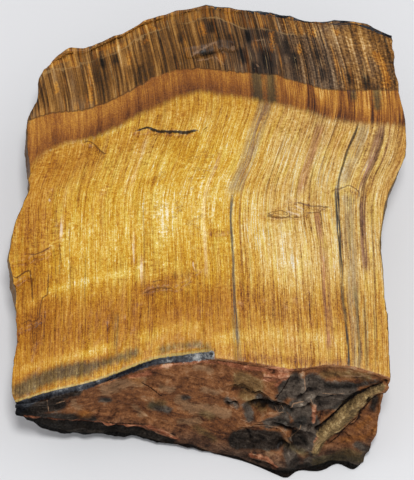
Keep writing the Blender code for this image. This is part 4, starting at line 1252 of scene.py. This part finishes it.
    # Painted shade: over the last 5 mm above the black fringe the jasper is painted darker and greyer,
    # greyer towards the right.
    low = shadow_fringe.step(-5.0, 0.0)
    stone_level = stone_level - low * 0.15
    ragged = specks * 0.2 + blots * 0.3 + streaks * 0.2
    jasper = wires.shade(stone_level, JASPER)
    tanned = (tan + blots * 0.6 + streaks * 0.4).step(-0.2, 0.6) * 0.55
    tanned = tanned.most((mottles + streaks * 0.3).step(0.5, 0.8) * 0.4)
    jasper = wires.mix(tanned, jasper, wires.shade(stone_level, TAN_RUN))
    jasper = wires.mix(low * (s.step(-5, 10) * 0.3 + 0.5), jasper, wires.shade(stone_level, LILAC_GREY))
    jasper = wires.mix((grey + ragged).step(-0.3, 0.5), jasper, wires.shade(stone_level, LILAC_GREY))
    jasper = wires.mix((olive + ragged).step(-0.5, 0.7) * 0.6, jasper, wires.shade(stone_level, OLIVE_RUN))
    inked = (ink + ragged * 0.9).step(-0.3, 0.5) * 0.95
    jasper = wires.mix(inked, jasper, wires.shade(stone_level + specks * 0.08, INK_RUN))
    jasper = wires.mix((red + ragged * 0.6).step(-0.5, 1.0) * 0.5, jasper, wires.shade(stone_level, RUST))
    salmon_level = stone_level + streaks * 0.14
    salmon = (salmon + blots * 0.15 + streaks * 0.15 + specks * 0.08).step(-0.2, 0.2) * 0.85
    jasper = wires.mix(salmon, jasper, wires.shade(salmon_level, SALMON_RUN))
    stripped = (strip + specks * 0.3 + blots * 0.3).step(-0.25, 0.3)
    jasper = wires.mix(stripped, jasper, wires.shade(stone_level + grains * 0.12 + streaks * 0.1, STRIP_RUN))
    cracks = abs(streaks + specks * 0.1).step(0.05, 0.0) * (blots + 0.2).step(0.0, 0.5)
    jasper = wires.mix(cracks * 0.45, jasper, srgb(30, 20, 16))
    colour = wires.mix((in_vein + specks * 0.1).step(0.12, -0.12), colour, jasper)
    crusted = (crust + specks * 0.25).step(-0.15, 0.25)
    crust_level = stone_level + s.step(-14, -2) * t.step(-20, -28) * 0.3
    colour = wires.mix(crusted, colour, wires.shade(crust_level, CRUST_RUN))

    # Painted shade in the splits, painted highlights on the pale edges, painted shade in the recesses, and
    # the painted black shadow along the foot
    # Painted shade: the splits are drawn brown on the gold and near black on the jasper and where wide.
    split = (abs(split_offset + specks * 0.12) / split_width.most(0.01)).step(1.0, 0.45)
    split = split * split_width.step(0.02, 0.12) * (matrix * 0.3 + split_width.step(0.15, 0.3) * 0.3 + 0.65)
    split_shade = wires.mix(matrix.most(split_width.step(0.2, 0.28)), srgb(92, 50, 16), srgb(26, 16, 9))
    colour = wires.mix(split, colour, split_shade)
    # Painted highlights along the pale edges, weaker on the dark band.
    edge = (abs(highlight_offset + specks * (into_dark * 0.2 + 0.1)) / highlight_width.most(0.01)).step(1.0, 0.3)
    edge = edge * highlight_width.step(0.02, 0.1) * ((blots + 0.7).step(0.0, 0.8) * 0.5 + 0.1)
    edge = edge * (1 - into_dark * 0.45)
    highlight_colour = wires.mix(matrix.most(into_dark), srgb(236, 214, 186), srgb(186, 146, 112))
    colour = wires.mix(edge, colour, highlight_colour)
    # Painted shade: the jasper is painted black where it lies well below its surroundings, in its hollows.
    recess_shade = (stands_out + specks * 0.06).step(-0.06, -0.34) * matrix
    colour = wires.mix(recess_shade * 0.85, colour, srgb(10, 8, 8))
    # Painted shadow: black along the lowest edge under its line, and on jasper faces that face down.
    fringe_shadow = (shadow_fringe + specks * 0.12).step(-0.1, 0.15) * matrix
    colour = wires.mix(fringe_shadow.most(facing.step(0.02, -0.3) * matrix) * 0.92, colour, srgb(7, 6, 6))

    rough = 0.6 + threads * 0.05 + specks * 0.06
    coat = 0.5 + flecks * 0.2 - matrix * 0.4 - into_dark * 0.2
    height = threads * 0.5 + strands * 0.5 + specks * 0.4 + grains * 0.4
    depth = {"Strength": 1.0, "Distance": BUMP_DEPTH * MM, "Height": height}
    bump = wires.node("ShaderNodeBump", None, depth)
    finish = {"Base Color": colour, "Roughness": rough, "Coat Weight": coat, "Normal": bump}
    for name, field in finish.items():
        tree.links.new(field.socket, shader.inputs[name])
    return material


def finished_stone():
    """The stone as one plain mesh, inside the box of its solid, with its material and its marks."""
    stone = stone_surface()
    mark_fibres(stone.data)
    material = stone_material()
    relief_tree = fine_relief(material)
    fine = stone.modifiers.new("fine_relief", "NODES")
    fine.node_group = relief_tree
    for item in relief_tree.interface.items_tree:
        if item.name in FINE_RELIEF:
            fine[item.identifier] = FINE_RELIEF[item.name]
    thin = stone.modifiers.new("thin", "DECIMATE")
    # Each pair of opposite faces of the cube has four triangles for each square of one face
    thin.ratio = MOST_TRIANGLES / (4 * sum(a * b for a, b in itertools.combinations(DIVISIONS, 2)))
    applied(stone)
    low, high = [np.array(corner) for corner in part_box("rough_stone")]
    write_points(stone.data, np.clip(read(stone.data, "co"), low, high))
    stone.data.shade_smooth()
    mark_fibres(stone.data)
    mark_surface(stone.data)
    return stone


stone = finished_stone()
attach(stone, "root")
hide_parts("rough_stone")

# Camera, floor and light

CAMERA_ELEVATION = math.radians(68)
CAMERA_DISTANCE = 450 * MM
CAMERA_TARGET = Vector((-0.5, -7.7, 28.0)) * MM
SENSOR = 36.0
PHOTO_HEIGHT = 480
FOCAL_PIXELS = 2250
LENS = SENSOR * FOCAL_PIXELS / PHOTO_HEIGHT
ROOM_COLOUR = (0.96, 0.97, 1, 1)
ROOM_STRENGTH = 0.5
FLOOR_CORNERS = [(-2, -2, 0), (2, -2, 0), (2, 2, 0), (-2, 2, 0)]
PAPER_COLOUR = (0.8, 0.8, 0.81, 1)
PAPER_ROUGHNESS = 0.9


def look_at(item, place, target):
    item.location = place
    item.rotation_euler = (Vector(target) - Vector(place)).to_track_quat("-Z", "Y").to_euler()


def camera():
    data = bpy.data.cameras.new("camera")
    data.lens = LENS
    data.sensor_width = SENSOR
    data.clip_start = 0.01
    item = new_object("camera", data)
    away = Vector((0, -math.cos(CAMERA_ELEVATION), math.sin(CAMERA_ELEVATION)))
    look_at(item, CAMERA_TARGET + away * CAMERA_DISTANCE, CAMERA_TARGET)
    bpy.context.scene.camera = item


def area_light(name, place, size, power):
    """A square light that faces the middle of the stone's foot."""
    data = bpy.data.lights.new(name, "AREA")
    data.size = size
    data.energy = power
    look_at(new_object(name, data), place, (0, 0, 0))


camera()
area_light("key", place=(0.02, -0.13, 0.6), size=0.07, power=1.8)
area_light("fill", place=(0.3, 0.1, 0.5), size=0.5, power=0.4)
world = bpy.data.worlds.new("studio")
world.use_nodes = True
background = world.node_tree.nodes["Background"]
background.inputs["Color"].default_value = ROOM_COLOUR
background.inputs["Strength"].default_value = ROOM_STRENGTH
bpy.context.scene.world = world
bpy.context.scene.view_settings.view_transform = "Standard"

floor_mesh = bpy.data.meshes.new("floor")
floor_mesh.from_pydata(FLOOR_CORNERS, [], [(0, 1, 2, 3)])
floor = new_object("floor", floor_mesh)
paper = bpy.data.materials.new("paper")
paper.use_nodes = True
paper_shader = paper.node_tree.nodes["Principled BSDF"]
paper_shader.inputs["Base Color"].default_value = PAPER_COLOUR
paper_shader.inputs["Roughness"].default_value = PAPER_ROUGHNESS
floor_mesh.materials.append(paper)
